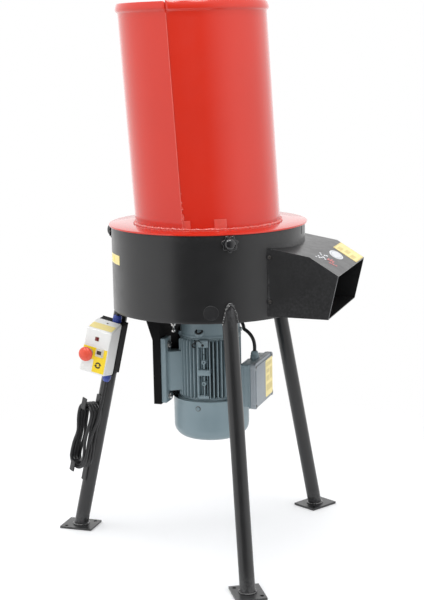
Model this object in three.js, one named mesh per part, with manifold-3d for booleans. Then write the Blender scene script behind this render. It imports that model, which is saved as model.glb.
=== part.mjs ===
// Electric fruit crusher on three legs: a leaning feed hopper on a lift-off lid,
// a round cutting chamber with a side outlet chute, a vertical motor hung below it,
// a switch box on the rear leg and the mains cable wound on two hooks below the box.
// Millimetres, +Z up. The machine is laid out about the vertical drum axis and then
// moved AXIS_X along +X so that the origin is the centre of its footprint.
import * as THREE from "three";
import { mergeVertices } from "three/addons/utils/BufferGeometryUtils.js";
import Module from "manifold-3d";

const wasm = await Module();
wasm.setup();

// ---------- driving dimensions (mm) ----------
const AXIS_X = 27.5;            // drum axis in the part's frame
const GAP = 0.3;                // clearance between touching pieces
const DRUM_R = 230;             // outside of the chamber wall
const WALL = 2;                 // sheet thickness
const DRUM_Z0 = 590;            // underside of the chamber
const DRUM_Z1 = 789.7;          // top edge of the chamber
const DRUM_SEG = 48;
const FLOOR_T = 4;
const LID_R = 235;
const LID_Z = 790;
const LID_T = 4;
const SKIRT_R = 225;
const SKIRT_H = 25;
const HOPPER_R = 172;
const HOPPER_H = 507.5;           // tube height above the lid plate
const HOPPER_LEAN = [-22.4, -21.4]; // offset of the rim centre from the base centre
const HOPPER_RIM_TILT = 0.1;    // share of the lean that the rim plane follows
const BEAD_H = 22;              // swaged rim, widest two thirds of the way up from its foot
const LEG_R = 17.5;
const LEG_WALL = 2;
const LEG_FOOT_R = 360.5;       // leg axis radius at the floor
const LEG_SLOPE = 0.2314;       // inward run per mm of height
const LEG_AZ = { rear: 180, left: -60, right: 60 };
const PLATE = { radial: 85, tangential: 70, t: 5, hole: 4.5 };
const CHUTE_Y = 138.3;          // half width of the outlet chute
const CHUTE_TOP = [[185, 754], [282, 736], [348, 695]];
const CHUTE_BOTTOM = [[185, 597], [325, 595]];
const KNOB_Z = 771;
const KNOB_AZ = { rear: -174, left: -60, right: 60 };
const MOTOR = { cowlR: 91, cowlZ0: 272, frameZ0: 372.3, frameZ1: 522, finR: 85, coreR: 73, boreR: 66.4, shieldR: 72, shieldZ1: 586 };
const FOOT_X = -95;             // motor foot plane
const FOOT_Y = 70;              // motor foot bolt offset
const FOOT_BOLTS_Z = [379, 504];
const TBOX = { x0: 92, x1: 121, y0: -67, y1: 73, z0: 360, z1: 463 };
const SHAFT_R = 12;
const DISC_R = 210;
const DISC_Z = 636;
// switch box, in the rear leg's own frame (a across the leg, b along +Y, s up the leg)
const BOX = { a: -3.7, s: 500.5, halfA: 33, frontB: -120, backB: -60.3, halfBack: 66, halfFront: 54.7 };
// cable hooks and hank, in the hook frame (d away from the leg, w across, s up the leg)
const HOOK_AZ = 240.6;
const HOOK = { top: 314, low: 200.6, d0: 18, d1: 66, t: 4, w: 8 };
const MAINS_R = 4;
const FOLD_R = 24;

const RAD = Math.PI / 180;
const V3 = (x, y, z) => new THREE.Vector3(x, y, z);

// ---------- materials ----------
const paint = (color, roughness, metalness = 0) => new THREE.MeshStandardMaterial({ color, roughness, metalness });
const RED = paint(0xc8281a, 0.25);
const BLACK = paint(0x1c1c1e, 0.35);
const MOTOR_GREY = paint(0x7c8b92, 0.45);
const ZINC = paint(0xb9bcc0, 0.35, 0.9);
const STEEL = paint(0x8a8d90, 0.35, 0.9);
const STAINLESS = paint(0xa8abae, 0.3, 0.95);
const LAMINATION = paint(0x4a4a4c, 0.5, 0.8);
const WHITE_PLASTIC = paint(0xe6e6e4, 0.4);
const BLACK_PLASTIC = paint(0x161617, 0.5);
const BLUE_PLASTIC = paint(0x2a3f9a, 0.4);
const RED_PLASTIC = paint(0xd2403a, 0.35);
const WINDOW_RED = paint(0x6a1a1a, 0.2);
const RUBBER = paint(0x131314, 0.75);

// ---------- solids ----------
function solid(geometry, matrix) {
  let g = geometry.index ? geometry.toNonIndexed() : geometry.clone();
  if (matrix) g.applyMatrix4(matrix);
  g = mergeVertices(new THREE.BufferGeometry().setAttribute("position", g.getAttribute("position")), 1e-4);
  const src = g.index.array;
  const tri = [];
  for (let i = 0; i < src.length; i += 3)
    if (src[i] !== src[i + 1] && src[i + 1] !== src[i + 2] && src[i] !== src[i + 2]) tri.push(src[i], src[i + 1], src[i + 2]);
  const vertProperties = g.attributes.position.array;
  const make = () => new wasm.Manifold(new wasm.Mesh({ numProp: 3, vertProperties, triVerts: new Uint32Array(tri) }));
  let m = make();
  if (m.volume() < 0) {
    for (let i = 0; i < tri.length; i += 3) [tri[i + 1], tri[i + 2]] = [tri[i + 2], tri[i + 1]];
    m = make();
  }
  return m;
}
function geometryOf(m) {
  const mesh = m.getMesh();
  const n = mesh.numProp;
  const v = new Float32Array(mesh.numVert * 3);
  for (let i = 0; i < mesh.numVert; i++) v.set(mesh.vertProperties.subarray(i * n, i * n + 3), i * 3);
  const g = new THREE.BufferGeometry();
  g.setAttribute("position", new THREE.BufferAttribute(v, 3));
  g.setIndex(new THREE.BufferAttribute(new Uint32Array(mesh.triVerts), 1));
  const flat = g.toNonIndexed();
  flat.computeVertexNormals();
  return flat;
}
const shapeOf = (pts, holes = []) => {
  const s = new THREE.Shape(pts.map(([x, y]) => new THREE.Vector2(x, y)));
  for (const h of holes) s.holes.push(new THREE.Path(h.map(([x, y]) => new THREE.Vector2(x, y))));
  return s;
};
const circle = (r, seg, cx = 0, cy = 0, turn = 0) =>
  Array.from({ length: seg }, (_, i) => {
    const t = (i / seg) * 2 * Math.PI + turn;
    return [cx + r * Math.cos(t), cy + r * Math.sin(t)];
  });
const extrude = (pts, depth, holes) => new THREE.ExtrudeGeometry(shapeOf(pts, holes), { depth, bevelEnabled: false });
// outline in the named plane, pushed along the third axis
const prismZ = (pts, z0, z1, holes) => solid(extrude(pts, z1 - z0, holes).translate(0, 0, z0));
const prismY = (pts, y0, y1, holes) => solid(extrude(pts, y1 - y0, holes).rotateX(Math.PI / 2).translate(0, y1, 0));
const prismX = (pts, x0, x1, holes) =>
  solid(extrude(pts, x1 - x0, holes), new THREE.Matrix4().makeBasis(V3(0, 1, 0), V3(0, 0, 1), V3(1, 0, 0)).setPosition(x0, 0, 0));
const box = (x0, x1, y0, y1, z0, z1) =>
  solid(new THREE.BoxGeometry(x1 - x0, y1 - y0, z1 - z0).translate((x0 + x1) / 2, (y0 + y1) / 2, (z0 + z1) / 2));
const lathe = (profile, seg = 48, close = true) => {
  const p = profile.map(([r, z]) => new THREE.Vector2(r, z));
  if (close) p.push(p[0].clone());
  return solid(new THREE.LatheGeometry(p, seg).rotateX(Math.PI / 2));
};
// a solid disc or stepped bar: profile runs from axis to axis
const turned = (profile, seg = 32) => lathe(profile, seg, false);
const rod = (r, p0, p1, seg = 16, r1 = r) => {
  const a = V3(...p0), b = V3(...p1), d = b.clone().sub(a);
  const g = new THREE.CylinderGeometry(r1, r, d.length(), seg);
  const q = new THREE.Quaternion().setFromUnitVectors(V3(0, 1, 0), d.clone().normalize());
  return solid(g, new THREE.Matrix4().compose(a.add(b).multiplyScalar(0.5), q, V3(1, 1, 1)));
};
const cableTube = (pts, r, steps, sides = 8) =>
  solid(new THREE.ExtrudeGeometry(shapeOf(circle(r, sides)), {
    steps, bevelEnabled: false,
    extrudePath: new THREE.CatmullRomCurve3(pts.map((p) => V3(...p)), false, "centripetal"),
  }));
const join = (...m) => m.reduce((a, b) => a.add(b));
const cut = (m, ...tools) => tools.reduce((a, b) => a.subtract(b), m);
const spin = (m, az) => m.rotate([0, 0, az]);

// ---------- assembly ----------
const part = new THREE.Group();
const machine = new THREE.Group();
machine.position.x = AXIS_X;
part.add(machine);
const put = (name, m, material, parent = machine) => {
  const mesh = new THREE.Mesh(geometryOf(m), material);
  mesh.name = name;
  parent.add(mesh);
  return mesh;
};
const drumCutter = (r, z0, z1) => prismZ(circle(r, DRUM_SEG), z0, z1);

// ---- chamber wall: rolled sheet with the outlet opening, its two screw tabs and three welded bosses ----
{
  let m = prismZ(circle(DRUM_R, DRUM_SEG), DRUM_Z0, DRUM_Z1, [circle(DRUM_R - WALL, DRUM_SEG)]);
  m = cut(m, box(170, 240, -130, 130, 602, 742));
  for (const s of [-1, 1]) {
    m = m.add(box(183, 199, Math.min(s * 133.8, s * 135.8), Math.max(s * 133.8, s * 135.8), 604, 742));
    for (const z of [631, 733]) m = cut(m, rod(2.7, [190.5, s * 125, z], [190.5, s * 145, z], 12));
  }
  for (const az of Object.values(KNOB_AZ)) {
    m = m.add(spin(rod(10, [228.6, 0, KNOB_Z], [232.6, 0, KNOB_Z], 16), az));
    m = cut(m, spin(rod(4.3, [215, 0, KNOB_Z], [240, 0, KNOB_Z], 12), az));
  }
  put("drum_shell", m, BLACK);
}
put("drum_floor", prismZ(circle(DRUM_R - WALL - GAP, DRUM_SEG), DRUM_Z0, DRUM_Z0 + FLOOR_T, [circle(20, 32)]), BLACK);
put("shaft_seal", lathe([[12.6, 594.3], [30, 594.3], [29, 597], [18, 600.5], [12.6, 600.5]], 24), RUBBER);

// ---- legs: round tube, cut to the drum wall and floor at the top, flat on the foot plate ----
const legAxis = (z) => LEG_FOOT_R - LEG_SLOPE * z;
for (const [name, az] of Object.entries(LEG_AZ)) {
  const p0 = [legAxis(-25), 0, -25], p1 = [legAxis(670), 0, 670];
  let m = cut(rod(LEG_R, p0, p1, 24), rod(LEG_R - LEG_WALL, [legAxis(-40), 0, -40], [legAxis(690), 0, 690], 20));
  m = spin(m, az);
  m = cut(m, drumCutter(DRUM_R + GAP, DRUM_Z0 - GAP, 720), box(-500, 500, -500, 500, -60, PLATE.t + GAP), box(-500, 500, -500, 500, 630, 720));
  put("leg_" + name, m, BLACK);
  const h = [[28, 26], [-30, -24]].map(([r, t]) => circle(PLATE.hole, 16, LEG_FOOT_R + r, t));
  const a = PLATE.radial / 2, b = PLATE.tangential / 2, c = LEG_FOOT_R;
  put("foot_plate_" + name, spin(prismZ([[c - a, -b], [c + a, -b], [c + a, b], [c - a, b]], 0, PLATE.t, h), az), BLACK);
}

// ---- outlet chute: folded sheet, open to the drum and at the undercut mouth ----
const CHUTE_SCREWS = [];
{
  const slope = (p, q) => (q[1] - p[1]) / (q[0] - p[0]);
  const s1 = slope(CHUTE_TOP[0], CHUTE_TOP[1]), s2 = slope(CHUTE_TOP[1], CHUTE_TOP[2]), s3 = slope(...CHUTE_BOTTOM);
  const at = (p, s, x) => p[1] + s * (x - p[0]);
  const drop = (s) => WALL * Math.hypot(1, s);
  const [b, l] = [CHUTE_TOP[1], CHUTE_TOP[2]];
  const outer = [[160, at(b, s1, 160)], b, l, CHUTE_BOTTOM[1], [160, at(CHUTE_BOTTOM[1], s3, 160)]];
  const bx = b[0] + (drop(s2) - drop(s1)) / (s2 - s1);
  const inner = [[150, at(b, s1, 150) - drop(s1)], [bx, at(b, s1, bx) - drop(s1)], [362, at(b, s2, 362) - drop(s2)],
    [362, at(CHUTE_BOTTOM[1], s3, 362) + drop(s3)], [150, at(CHUTE_BOTTOM[1], s3, 150) + drop(s3)]];
  let m = cut(prismY(outer, -CHUTE_Y, CHUTE_Y), prismY(inner, -CHUTE_Y + WALL, CHUTE_Y - WALL), drumCutter(DRUM_R + GAP, 500, 900));
  for (const [side, s] of [["left", -1], ["right", 1]])
    for (const [level, z] of [["upper", 733], ["lower", 631]]) {
      m = cut(m, rod(2.7, [190.5, s * 125, z], [190.5, s * 145, z], 12));
      CHUTE_SCREWS.push(["chute_screw_" + side + "_" + level, s, z]);
    }
  put("outlet_chute", m, BLACK);
}
for (const [name, s, z] of CHUTE_SCREWS)
  put(name, join(rod(2.3, [190.5, s * 131, z], [190.5, s * 139, z], 10), rod(4.4, [190.5, s * (CHUTE_Y + GAP), z], [190.5, s * (CHUTE_Y + 2.6), z], 12, 2.6)), ZINC);

// ---- lid: flange plate with locating skirt and the leaning hopper tube ----
put("lid_plate", prismZ(circle(LID_R, DRUM_SEG), LID_Z, LID_Z + LID_T, [circle(HOPPER_R - 5, 48)]), RED);
put("lid_skirt", prismZ(circle(SKIRT_R, DRUM_SEG), LID_Z - GAP - SKIRT_H, LID_Z - GAP, [circle(SKIRT_R - 3, DRUM_SEG)]), RED);
{
  const z0 = LID_Z + LID_T + GAP, R = HOPPER_R, H = HOPPER_H;
  const g = new THREE.LatheGeometry([
    [R - WALL, 0], [R, 0], [R, H * 0.5], [R, H - BEAD_H], [R + 4.4, H - BEAD_H + 4], [R + 5.6, H - BEAD_H + 7], [R + 4.8, H - 10], [R + 2.2, H - 3], [R, H],
    [R - WALL, H - 2], [R - WALL, H * 0.5], [R - WALL, 0]].map(([r, z]) => new THREE.Vector2(r, z)), 44).rotateX(Math.PI / 2);
  const p = g.attributes.position;
  for (let i = 0; i < p.count; i++) {
    const x = p.getX(i), y = p.getY(i), z = p.getZ(i), t = z / H;
    const tilt = HOPPER_RIM_TILT * t * ((-HOPPER_LEAN[0] / H) * x + (-HOPPER_LEAN[1] / H) * y);
    p.setXYZ(i, x + HOPPER_LEAN[0] * t, y + HOPPER_LEAN[1] * t, z0 + z + tilt);
  }
  put("hopper_tube", solid(g), RED);
}

// ---- clamp knobs: lobed head with moulded dome on a threaded stud, each about its own radial axis ----
for (const [name, az] of Object.entries(KNOB_AZ)) {
  const lobes = Array.from({ length: 28 }, (_, i) => {
    const t = (i / 28) * 2 * Math.PI, r = 18 + 2.2 * Math.cos(7 * t);
    return [r * Math.cos(t), KNOB_Z + r * Math.sin(t)];
  });
  const dome = solid(new THREE.SphereGeometry(13, 14, 7).scale(0.72, 1, 1).translate(239.2, 0, KNOB_Z));
  const m = join(rod(3.9, [226, 0, KNOB_Z], [237, 0, KNOB_Z], 12), rod(9, [232.9, 0, KNOB_Z], [236.5, 0, KNOB_Z], 20), prismX(lobes, 235.5, 241.2),
    cut(dome, box(200, 238, -30, 30, 740, 800)));
  put("clamp_knob_" + name, spin(m, az), BLACK_PLASTIC);
}

// ---- motor mounting plate: hangs from the chamber floor, both edges bent back, gussets widening under the floor ----
{
  let m = box(FOOT_X - 6, FOOT_X - GAP, -95, 95, 362, DRUM_Z0 - GAP);
  for (const s of [-1, 1]) {
    m = m.add(prismY([[FOOT_X - 4, 362], [FOOT_X - 4, DRUM_Z0 - GAP], [-136, DRUM_Z0 - GAP], [-113.5, 518], [-113.5, 362]], Math.min(s * 90, s * 95), Math.max(s * 90, s * 95)));
    for (const z of FOOT_BOLTS_Z) m = cut(m, rod(4.6, [-120, s * FOOT_Y, z], [-80, s * FOOT_Y, z], 12));
  }
  put("motor_mount_plate", m, BLACK);
}

// ---- motor ----
{
  const { frameZ0: z0, frameZ1: z1, coreR, finR } = MOTOR;
  // finned outline: fins all round except at the feet (-X) and under the terminal box (+X)
  const pts = [];
  const fins = [];
  for (let a = 45; a <= 135; a += 11.25) fins.push(a, -a);
  fins.sort((p, q) => p - q);
  const half = 1.9;
  const ring = [];
  for (const a of fins) {
    for (const [r, k] of [[coreR, -1], [finR, -0.7], [finR, 0.7], [coreR, 1]]) ring.push([r, a + (k * half * 180) / (Math.PI * r)]);
  }
  for (let a = -30; a <= 30; a += 15) ring.push([coreR, a]);
  for (let a = 150; a <= 210; a += 15) ring.push([coreR, a > 180 ? a - 360 : a]);
  ring.sort((p, q) => p[1] - q[1]);
  for (const [r, a] of ring) pts.push([r * Math.cos(a * RAD), r * Math.sin(a * RAD)]);
  let m = prismZ(pts, z0, z1);
  // pad for the terminal box, round end bands, nameplate boss on the front
  m = join(m, box(50, TBOX.x0 - GAP, -50, 50, 373, 438), prismZ(circle(77, 32), z0, z0 + 8), prismZ(circle(75, 32), z1 - 9, z1),
    box(-12, 12, -(finR + 1.5), -60, 440, 452));
  for (const z of [425, 466]) m = m.add(rod(4.5, [0, -60, z], [0, -(finR + 1), z], 12));
  // feet: a rail on each side with a web to the frame
  for (const s of [-1, 1]) {
    const Y = (a, b) => [Math.min(s * a, s * b), Math.max(s * a, s * b)];
    m = join(m, box(FOOT_X, -83, ...Y(50, 92), 365, z1),
      prismZ([[-85, s * 44], [-85, s * 82], [-74, s * 80], [-48, s * 66], [-40, s * 50], [-60, s * 36]], 392, 492));
    for (const z of FOOT_BOLTS_Z) m = cut(m, rod(4.8, [-100, s * FOOT_Y, z], [-70, s * FOOT_Y, z], 12));
  }
  m = cut(m, prismZ(circle(MOTOR.boreR, 28), z0 - 5, z1 + 5));
  // shallow locating holes in the nameplate bosses
  for (const z of [425, 466]) m = cut(m, rod(1.8, [0, -80, z], [0, -95, z], 8));
  put("motor_frame", m, MOTOR_GREY);
}
put("stator_core", lathe([[50, 396], [65.6, 396], [65.6, 500], [50, 500]], 28), LAMINATION);
{
  const m = lathe([[13, 571.5], [13, 586], [62, 586], [69, 583], [72, 577], [72, 530], [74, 527], [74, 522.3], [66, 522.3], [66, 552], [34, 560], [34, 556], [26.3, 556], [26.3, 571.5]], 28);
  put("motor_end_shield_top", join(m, rod(6, [0, -66, 556], [0, -75, 556], 16), rod(3.2, [0, -66, 556], [0, -78, 556], 6)), MOTOR_GREY);
}
put("motor_end_shield_bottom", lathe([[13, 348], [13, 351.5], [26.3, 351.5], [26.3, 367], [66, 371.9], [82, 371.9], [82, 362], [60, 352], [36, 348]], 28), MOTOR_GREY);
put("bearing_top", lathe([[12.4, 556.3], [26, 556.3], [26, 571.2], [12.4, 571.2]], 20), STEEL);
put("bearing_bottom", lathe([[12.4, 351.8], [26, 351.8], [26, 366.7], [12.4, 366.7]], 20), STEEL);
{
  const R = MOTOR.cowlR, z = MOTOR.cowlZ0, out = [], inn = [];
  for (let i = 0; i <= 4; i++) {
    const t = (i / 4) * 90 * RAD;
    out.push([R - 30 + 30 * Math.sin(t), z + 30 - 30 * Math.cos(t)]);
    inn.push([R - 30 + 28 * Math.sin(t), z + 30 - 28 * Math.cos(t)]);
  }
  let m = turned([[0, z], ...out, [R, 372], [R - 2, 372], ...inn.reverse(), [0, z + 2]], 36);
  // air slots in the end: two rings of arcs
  for (const [r0, r1] of [[18, 26], [38, 46]])
    for (let k = 0; k < 4; k++) {
      const arc = [];
      for (let i = 0; i <= 3; i++) arc.push([r1, k * 90 + 10 + i * 23.3]);
      for (let i = 3; i >= 0; i--) arc.push([r0, k * 90 + 10 + i * 23.3]);
      m = cut(m, prismZ(arc.map(([r, a]) => [r * Math.cos(a * RAD), r * Math.sin(a * RAD)]), z - 3, z + 6));
    }
  // cover screw on the side
  m = m.add(rod(4, [-9, -88, 351], [-9.3, -93, 351], 10));
  put("fan_cowl", m, MOTOR_GREY);
}
for (const [name, s] of [["left", -1], ["right", 1]])
  FOOT_BOLTS_Z.forEach((z, i) =>
    put("motor_foot_bolt_" + name + (i ? "_upper" : "_lower"),
      join(rod(4, [-113, s * FOOT_Y, z], [-79, s * FOOT_Y, z], 10), rod(7.2, [-82.7, s * FOOT_Y, z], [-76, s * FOOT_Y, z], 6), rod(7.2, [-108, s * FOOT_Y, z], [-101.3, s * FOOT_Y, z], 6)), ZINC));

// ---- terminal box on the motor's +X side, with a deep lid ----
{
  const { x0, x1, y0, y1, z0, z1 } = TBOX;
  put("terminal_box", cut(box(x0, x1, y0, y1, z0, z1), box(x0 + 9, x1 + 5, y0 + 4, y1 - 4, z0 + 4, z1 - 4),
    prismX([[6, z1 + 1], [y1 + 1, z1 - 38], [y1 + 1, z1 + 1]], x0 - 1, x0 + 7)), MOTOR_GREY);
  const a = y0 - 6, b = y1 + 6, c = z0 - 3, d = z1 + 3, k = 13;
  let lid = prismX([[a, c + k], [a + k, c], [b - k, c], [b, c + k], [b, d - k], [b - k, d], [a + k, d], [a, d - k]], x1 + GAP, x1 + 11);
  lid = lid.add(prismX([[a + 9, c + 9], [b - 9, c + 9], [b - 9, d - 9], [a + 9, d - 9]], x1 + 10, x1 + 13.5));
  for (const yy of [a + 8, b - 8]) for (const zz of [c + 8, d - 8]) lid = lid.add(rod(6, [x1 + 3, yy, zz], [x1 + 15, yy, zz], 10));
  put("terminal_box_lid", lid, MOTOR_GREY);
}
put("terminal_gland", join(rod(10.4, [110, 4, TBOX.z1 + GAP], [110, 4, TBOX.z1 + 9], 6), rod(9.5, [110, 4, TBOX.z1 + 8], [110, 4, TBOX.z1 + 19], 16, 6.5)), MOTOR_GREY);

// motor cable: terminal gland, round behind the motor under the floor, down into the switch box's top gland
put("motor_cable", cableTube([[110, 4, 482.3], [110, 4, 495], [107.5, 4, 508], [102, 4.5, 518.5], [94.5, 5.5, 526.5], [86.5, 9, 531], [80, 17, 534], [75.5, 30, 538], [66, 48, 542.5], [42, 72, 548], [14, 86, 555], [-16, 96, 563], [-52, 106, 572], [-100, 110.5, 578],
  [-146, 103, 580.5], [-180, 66, 583], [-197, 22, 584.4], [-202.5, -14, 584.4], [-208, -33, 581.5], [-215.5, -41, 575], [-220.6, -42, 567.5], [-221.56, -42, 563.75]], 4.25, 60), RUBBER);
// cable clip stud: hangs from the chamber floor beside the mounting plate
put("floor_stud", join(rod(3, [-64, -82, 542], [-64, -82, DRUM_Z0 - GAP], 10), rod(7, [-64, -82, 553], [-64, -82, 558.5], 6), rod(6, [-64, -82, 538], [-64, -82, 543.5], 6)), ZINC);

// ---- rotor: shaft, core, fan, ejector hub with paddles, slotted cutting disc, blade and centre bolt ----
{
  const shaft = turned([[0, 296], [7.9, 296], [7.9, 340], [SHAFT_R, 340], [SHAFT_R, 380], [15.7, 380], [15.7, 515], [SHAFT_R, 515], [SHAFT_R, 635], [0, 635]], 24);
  put("motor_shaft", cut(shaft, rod(5.3, [0, 0, 612], [0, 0, 640], 12)), STEEL);
}
put("rotor_core", lathe([[16, 396], [49, 396], [49, 500], [16, 500]], 24), LAMINATION);
{
  let m = lathe([[8.2, 306], [15, 306], [15, 328], [77, 328], [77, 331], [8.2, 331]], 28);
  for (let k = 0; k < 7; k++) m = m.add(spin(box(13, 77, -1.2, 1.2, 307, 329), (k * 360) / 7));
  put("cooling_fan", m, BLACK_PLASTIC);
}
{
  let m = lathe([[12.3, 602], [30, 602], [30, 635.7], [12.3, 635.7]], 32);
  for (let k = 0; k < 3; k++) m = m.add(spin(box(27, 204, -2.5, 2.5, 603, 632), 90 + k * 120));
  put("ejector_hub", m, STAINLESS);
}
{
  let m = prismZ(circle(DISC_R, 44), DISC_Z, DISC_Z + 4, [circle(12.3, 20)]);
  for (const s of [0, 180]) m = cut(m, spin(box(60, 190, 24, 52, DISC_Z - 5, DISC_Z + 9), s));
  put("cutter_disc", m, STAINLESS);
  const b = [[-190, -20], [-60, -20], [60, -20], [190, 4], [190, 20], [60, 20], [-60, 20], [-190, -4]];
  put("cutter_blade", prismZ(b, DISC_Z + 4.3, DISC_Z + 10.3, [circle(6, 16)]), STAINLESS);
  put("hub_bolt", join(rod(5, [0, 0, 614], [0, 0, DISC_Z + 12], 10), rod(20, [0, 0, DISC_Z + 10.6], [0, 0, DISC_Z + 14], 24), rod(9.5, [0, 0, DISC_Z + 13], [0, 0, DISC_Z + 21], 6)), ZINC);
}

// ---- rear leg frame: x = a across the leg, y = b along +Y, z = s up the leg ----
const rearLeg = new THREE.Group();
rearLeg.position.set(-LEG_FOOT_R, 0, 0);
rearLeg.rotation.y = Math.atan(LEG_SLOPE);
machine.add(rearLeg);
const { a: A0, s: S0 } = BOX;
put("switch_bracket", box(A0 - 34, A0 + 34, -21.7, -18, S0 - 68, S0 + 62), BLACK, rearLeg);
put("switch_base", cut(box(A0 - 34, A0 + 34, -60, -22, S0 - 68, S0 + 62), box(A0 - 31, A0 + 31, -70, -25, S0 - 65, S0 + 59)), BLACK_PLASTIC, rearLeg);
const ESTOP = [A0 - 15, S0 - 5], START = [A0 + 12, S0], PILOT = [A0 - 1, S0 + 32];
{
  const { halfA, frontB, backB, halfBack: hb, halfFront: hf } = BOX;
  const outer = [[backB, S0 - hb], [backB, S0 + hb], [frontB, S0 + hf], [frontB, S0 - hf]];
  const inner = [[backB + 5, S0 - hb + 2], [backB + 5, S0 + hb - 2], [frontB + 2.5, S0 + hf - 3], [frontB + 2.5, S0 - hf + 3]];
  let m = cut(prismX(outer, A0 - halfA, A0 + halfA), prismX(inner, A0 - halfA + 2.5, A0 + halfA - 2.5));
  m = cut(m, rod(8.5, [ESTOP[0], -130, ESTOP[1]], [ESTOP[0], -110, ESTOP[1]], 24),
    box(START[0] - 7.4, START[0] + 7.4, -130, -110, START[1] - 7.4, START[1] + 7.4), box(PILOT[0] - 5.2, PILOT[0] + 5.2, -130, -110, PILOT[1] - 5.2, PILOT[1] + 5.2));
  put("switch_cover", m, WHITE_PLASTIC, rearLeg);
}
put("pilot_window", box(PILOT[0] - 4.8, PILOT[0] + 4.8, -121, -117, PILOT[1] - 4.8, PILOT[1] + 4.8), WINDOW_RED, rearLeg);
put("start_button", box(START[0] - 7, START[0] + 7, -124, -108, START[1] - 7, START[1] + 7), BLACK_PLASTIC, rearLeg);
put("estop_stem", rod(8, [ESTOP[0], -136.7, ESTOP[1]], [ESTOP[0], -102, ESTOP[1]], 20), BLACK_PLASTIC, rearLeg);
{
  const m = turned([[0, 0], [14, 0], [16.6, 1.2], [17.5, 4], [16.8, 7.5], [12.5, 11.4], [6, 13.2], [0, 13.6]], 28);
  const g = m.rotate([90, 0, 0]).translate([ESTOP[0], -137, ESTOP[1]]);
  put("estop_head", g, RED_PLASTIC, rearLeg);
}
const GT = [A0 + 12, -42], GB = [A0 + 14, -45];
put("gland_top", join(rod(11.5, [...GT, S0 + 62.3], [...GT, S0 + 70], 6), rod(10.5, [...GT, S0 + 69], [...GT, S0 + 79.5], 12, 7)), BLUE_PLASTIC, rearLeg);
put("gland_bottom", join(rod(11.5, [...GB, S0 - 68.3], [...GB, S0 - 76], 6), rod(10.5, [...GB, S0 - 75], [...GB, S0 - 90], 12, 6.5)), BLUE_PLASTIC, rearLeg);

// ---- cable hooks, hank, lead, tail and plug: x = d away from the leg, y = w, z = s ----
const hookFrame = new THREE.Group();
hookFrame.rotation.z = HOOK_AZ * RAD;
rearLeg.add(hookFrame);
{
  const { d0, d1, t, w } = HOOK;
  const top = HOOK.top + 17, low = HOOK.low - 17;
  const up = [[d0, top - t], [d1, top - t], [d1, HOOK.top + 42], [d1 - t, HOOK.top + 42], [d1 - t, top], [d0 + t, top], [d0 + t, HOOK.top + 47], [d0, HOOK.top + 47]];
  const dn = [[d0, low + t], [d0, HOOK.low - 71], [d0 + t, HOOK.low - 71], [d0 + t, low], [d1 - t, low], [d1 - t, HOOK.low - 40], [d1, HOOK.low - 40], [d1, low + t]];
  put("cable_hook_upper", prismY(up, -w, w), BLACK, hookFrame);
  put("cable_hook_lower", prismY(dn, -w, w), BLACK, hookFrame);
}
// hank of the wound mains cable: a ring with round ends that lies on both hooks
const HANK = { R: 36.8, r: 19.7, d0: 22.4, d1: 61.6 };
{
  const stadium = (R, seg = 10, waist = R) => {
    const p = [];
    for (let i = 0; i <= seg; i++) { const t = (i / seg) * Math.PI; p.push([R * Math.cos(t), HOOK.top + R * Math.sin(t)]); }
    if (waist !== R) { p.push([-waist, HOOK.top - 30], [-waist, HOOK.low + 30]); }
    for (let i = 0; i <= seg; i++) { const t = Math.PI + (i / seg) * Math.PI; p.push([R * Math.cos(t), HOOK.low + R * Math.sin(t)]); }
    if (waist !== R) { p.push([waist, HOOK.low + 30], [waist, HOOK.top - 30]); }
    return p;
  };
  put("mains_hank", prismX(stadium(HANK.R, 12), HANK.d0, HANK.d1, [stadium(HANK.r, 8, 9.5)]), RUBBER, hookFrame);
}
// lead: from the box's bottom gland down to the hank's near top corner (in the leg frame)
const hookToLeg = (d, w, s) => { const c = Math.cos(HOOK_AZ * RAD), n = Math.sin(HOOK_AZ * RAD); return [d * c - w * n, d * n + w * c, s]; };
put("mains_lead", cableTube([[...GB, S0 - 90.3], [GB[0], GB[1], S0 - 104], [GB[0] + 0.1, GB[1] - 0.9, S0 - 128], [...hookToLeg(36, 32.4, HOOK.top + 48)], [...hookToLeg(36, 32.4, HOOK.top + 24)]], MAINS_R, 8, 10), RUBBER, rearLeg);
// tail: out of the hank's leg side, over in an arch and down behind the leg to the plug
const TAIL = { w: -31, d: 8, R: 30, s: HOOK.top - 20 };
{
  const pts = [];
  for (let a = 58; a <= 180; a += 12.2) pts.push([TAIL.d + TAIL.R * Math.cos(a * RAD), TAIL.w, TAIL.s + TAIL.R * Math.sin(a * RAD)]);
  pts.push([TAIL.d - TAIL.R, TAIL.w, TAIL.s - 12]);
  let m = cableTube(pts, MAINS_R, 16, 10);
  m = cut(m, box(HANK.d0 - GAP, 60, -80, 20, 200, 400));
  put("mains_tail", m, RUBBER, hookFrame);
  const s = TAIL.s - 12.3;
  const plug = turned([[0, 0], [5.5, 0], [7, -22], [12, -26], [15.5, -34], [16.5, -46], [18, -52], [18, -60], [0, -60]], 20).translate([TAIL.d - TAIL.R, TAIL.w, s]);
  const pins = [-9.5, 9.5].map((k) => rod(2.4, [TAIL.d - TAIL.R + k, TAIL.w, s - 58], [TAIL.d - TAIL.R + k, TAIL.w, s - 79], 8));
  put("mains_plug", join(plug, ...pins), RUBBER, hookFrame);
}

export default part;
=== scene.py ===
# Looks of the electric fruit crusher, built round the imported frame. Lengths below are millimetres about the
# drum axis unless a name ends in _m; to_m() turns them into the row frame in metres.
import math

import bmesh
import bpy
from mathutils import Matrix, Vector, noise


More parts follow.
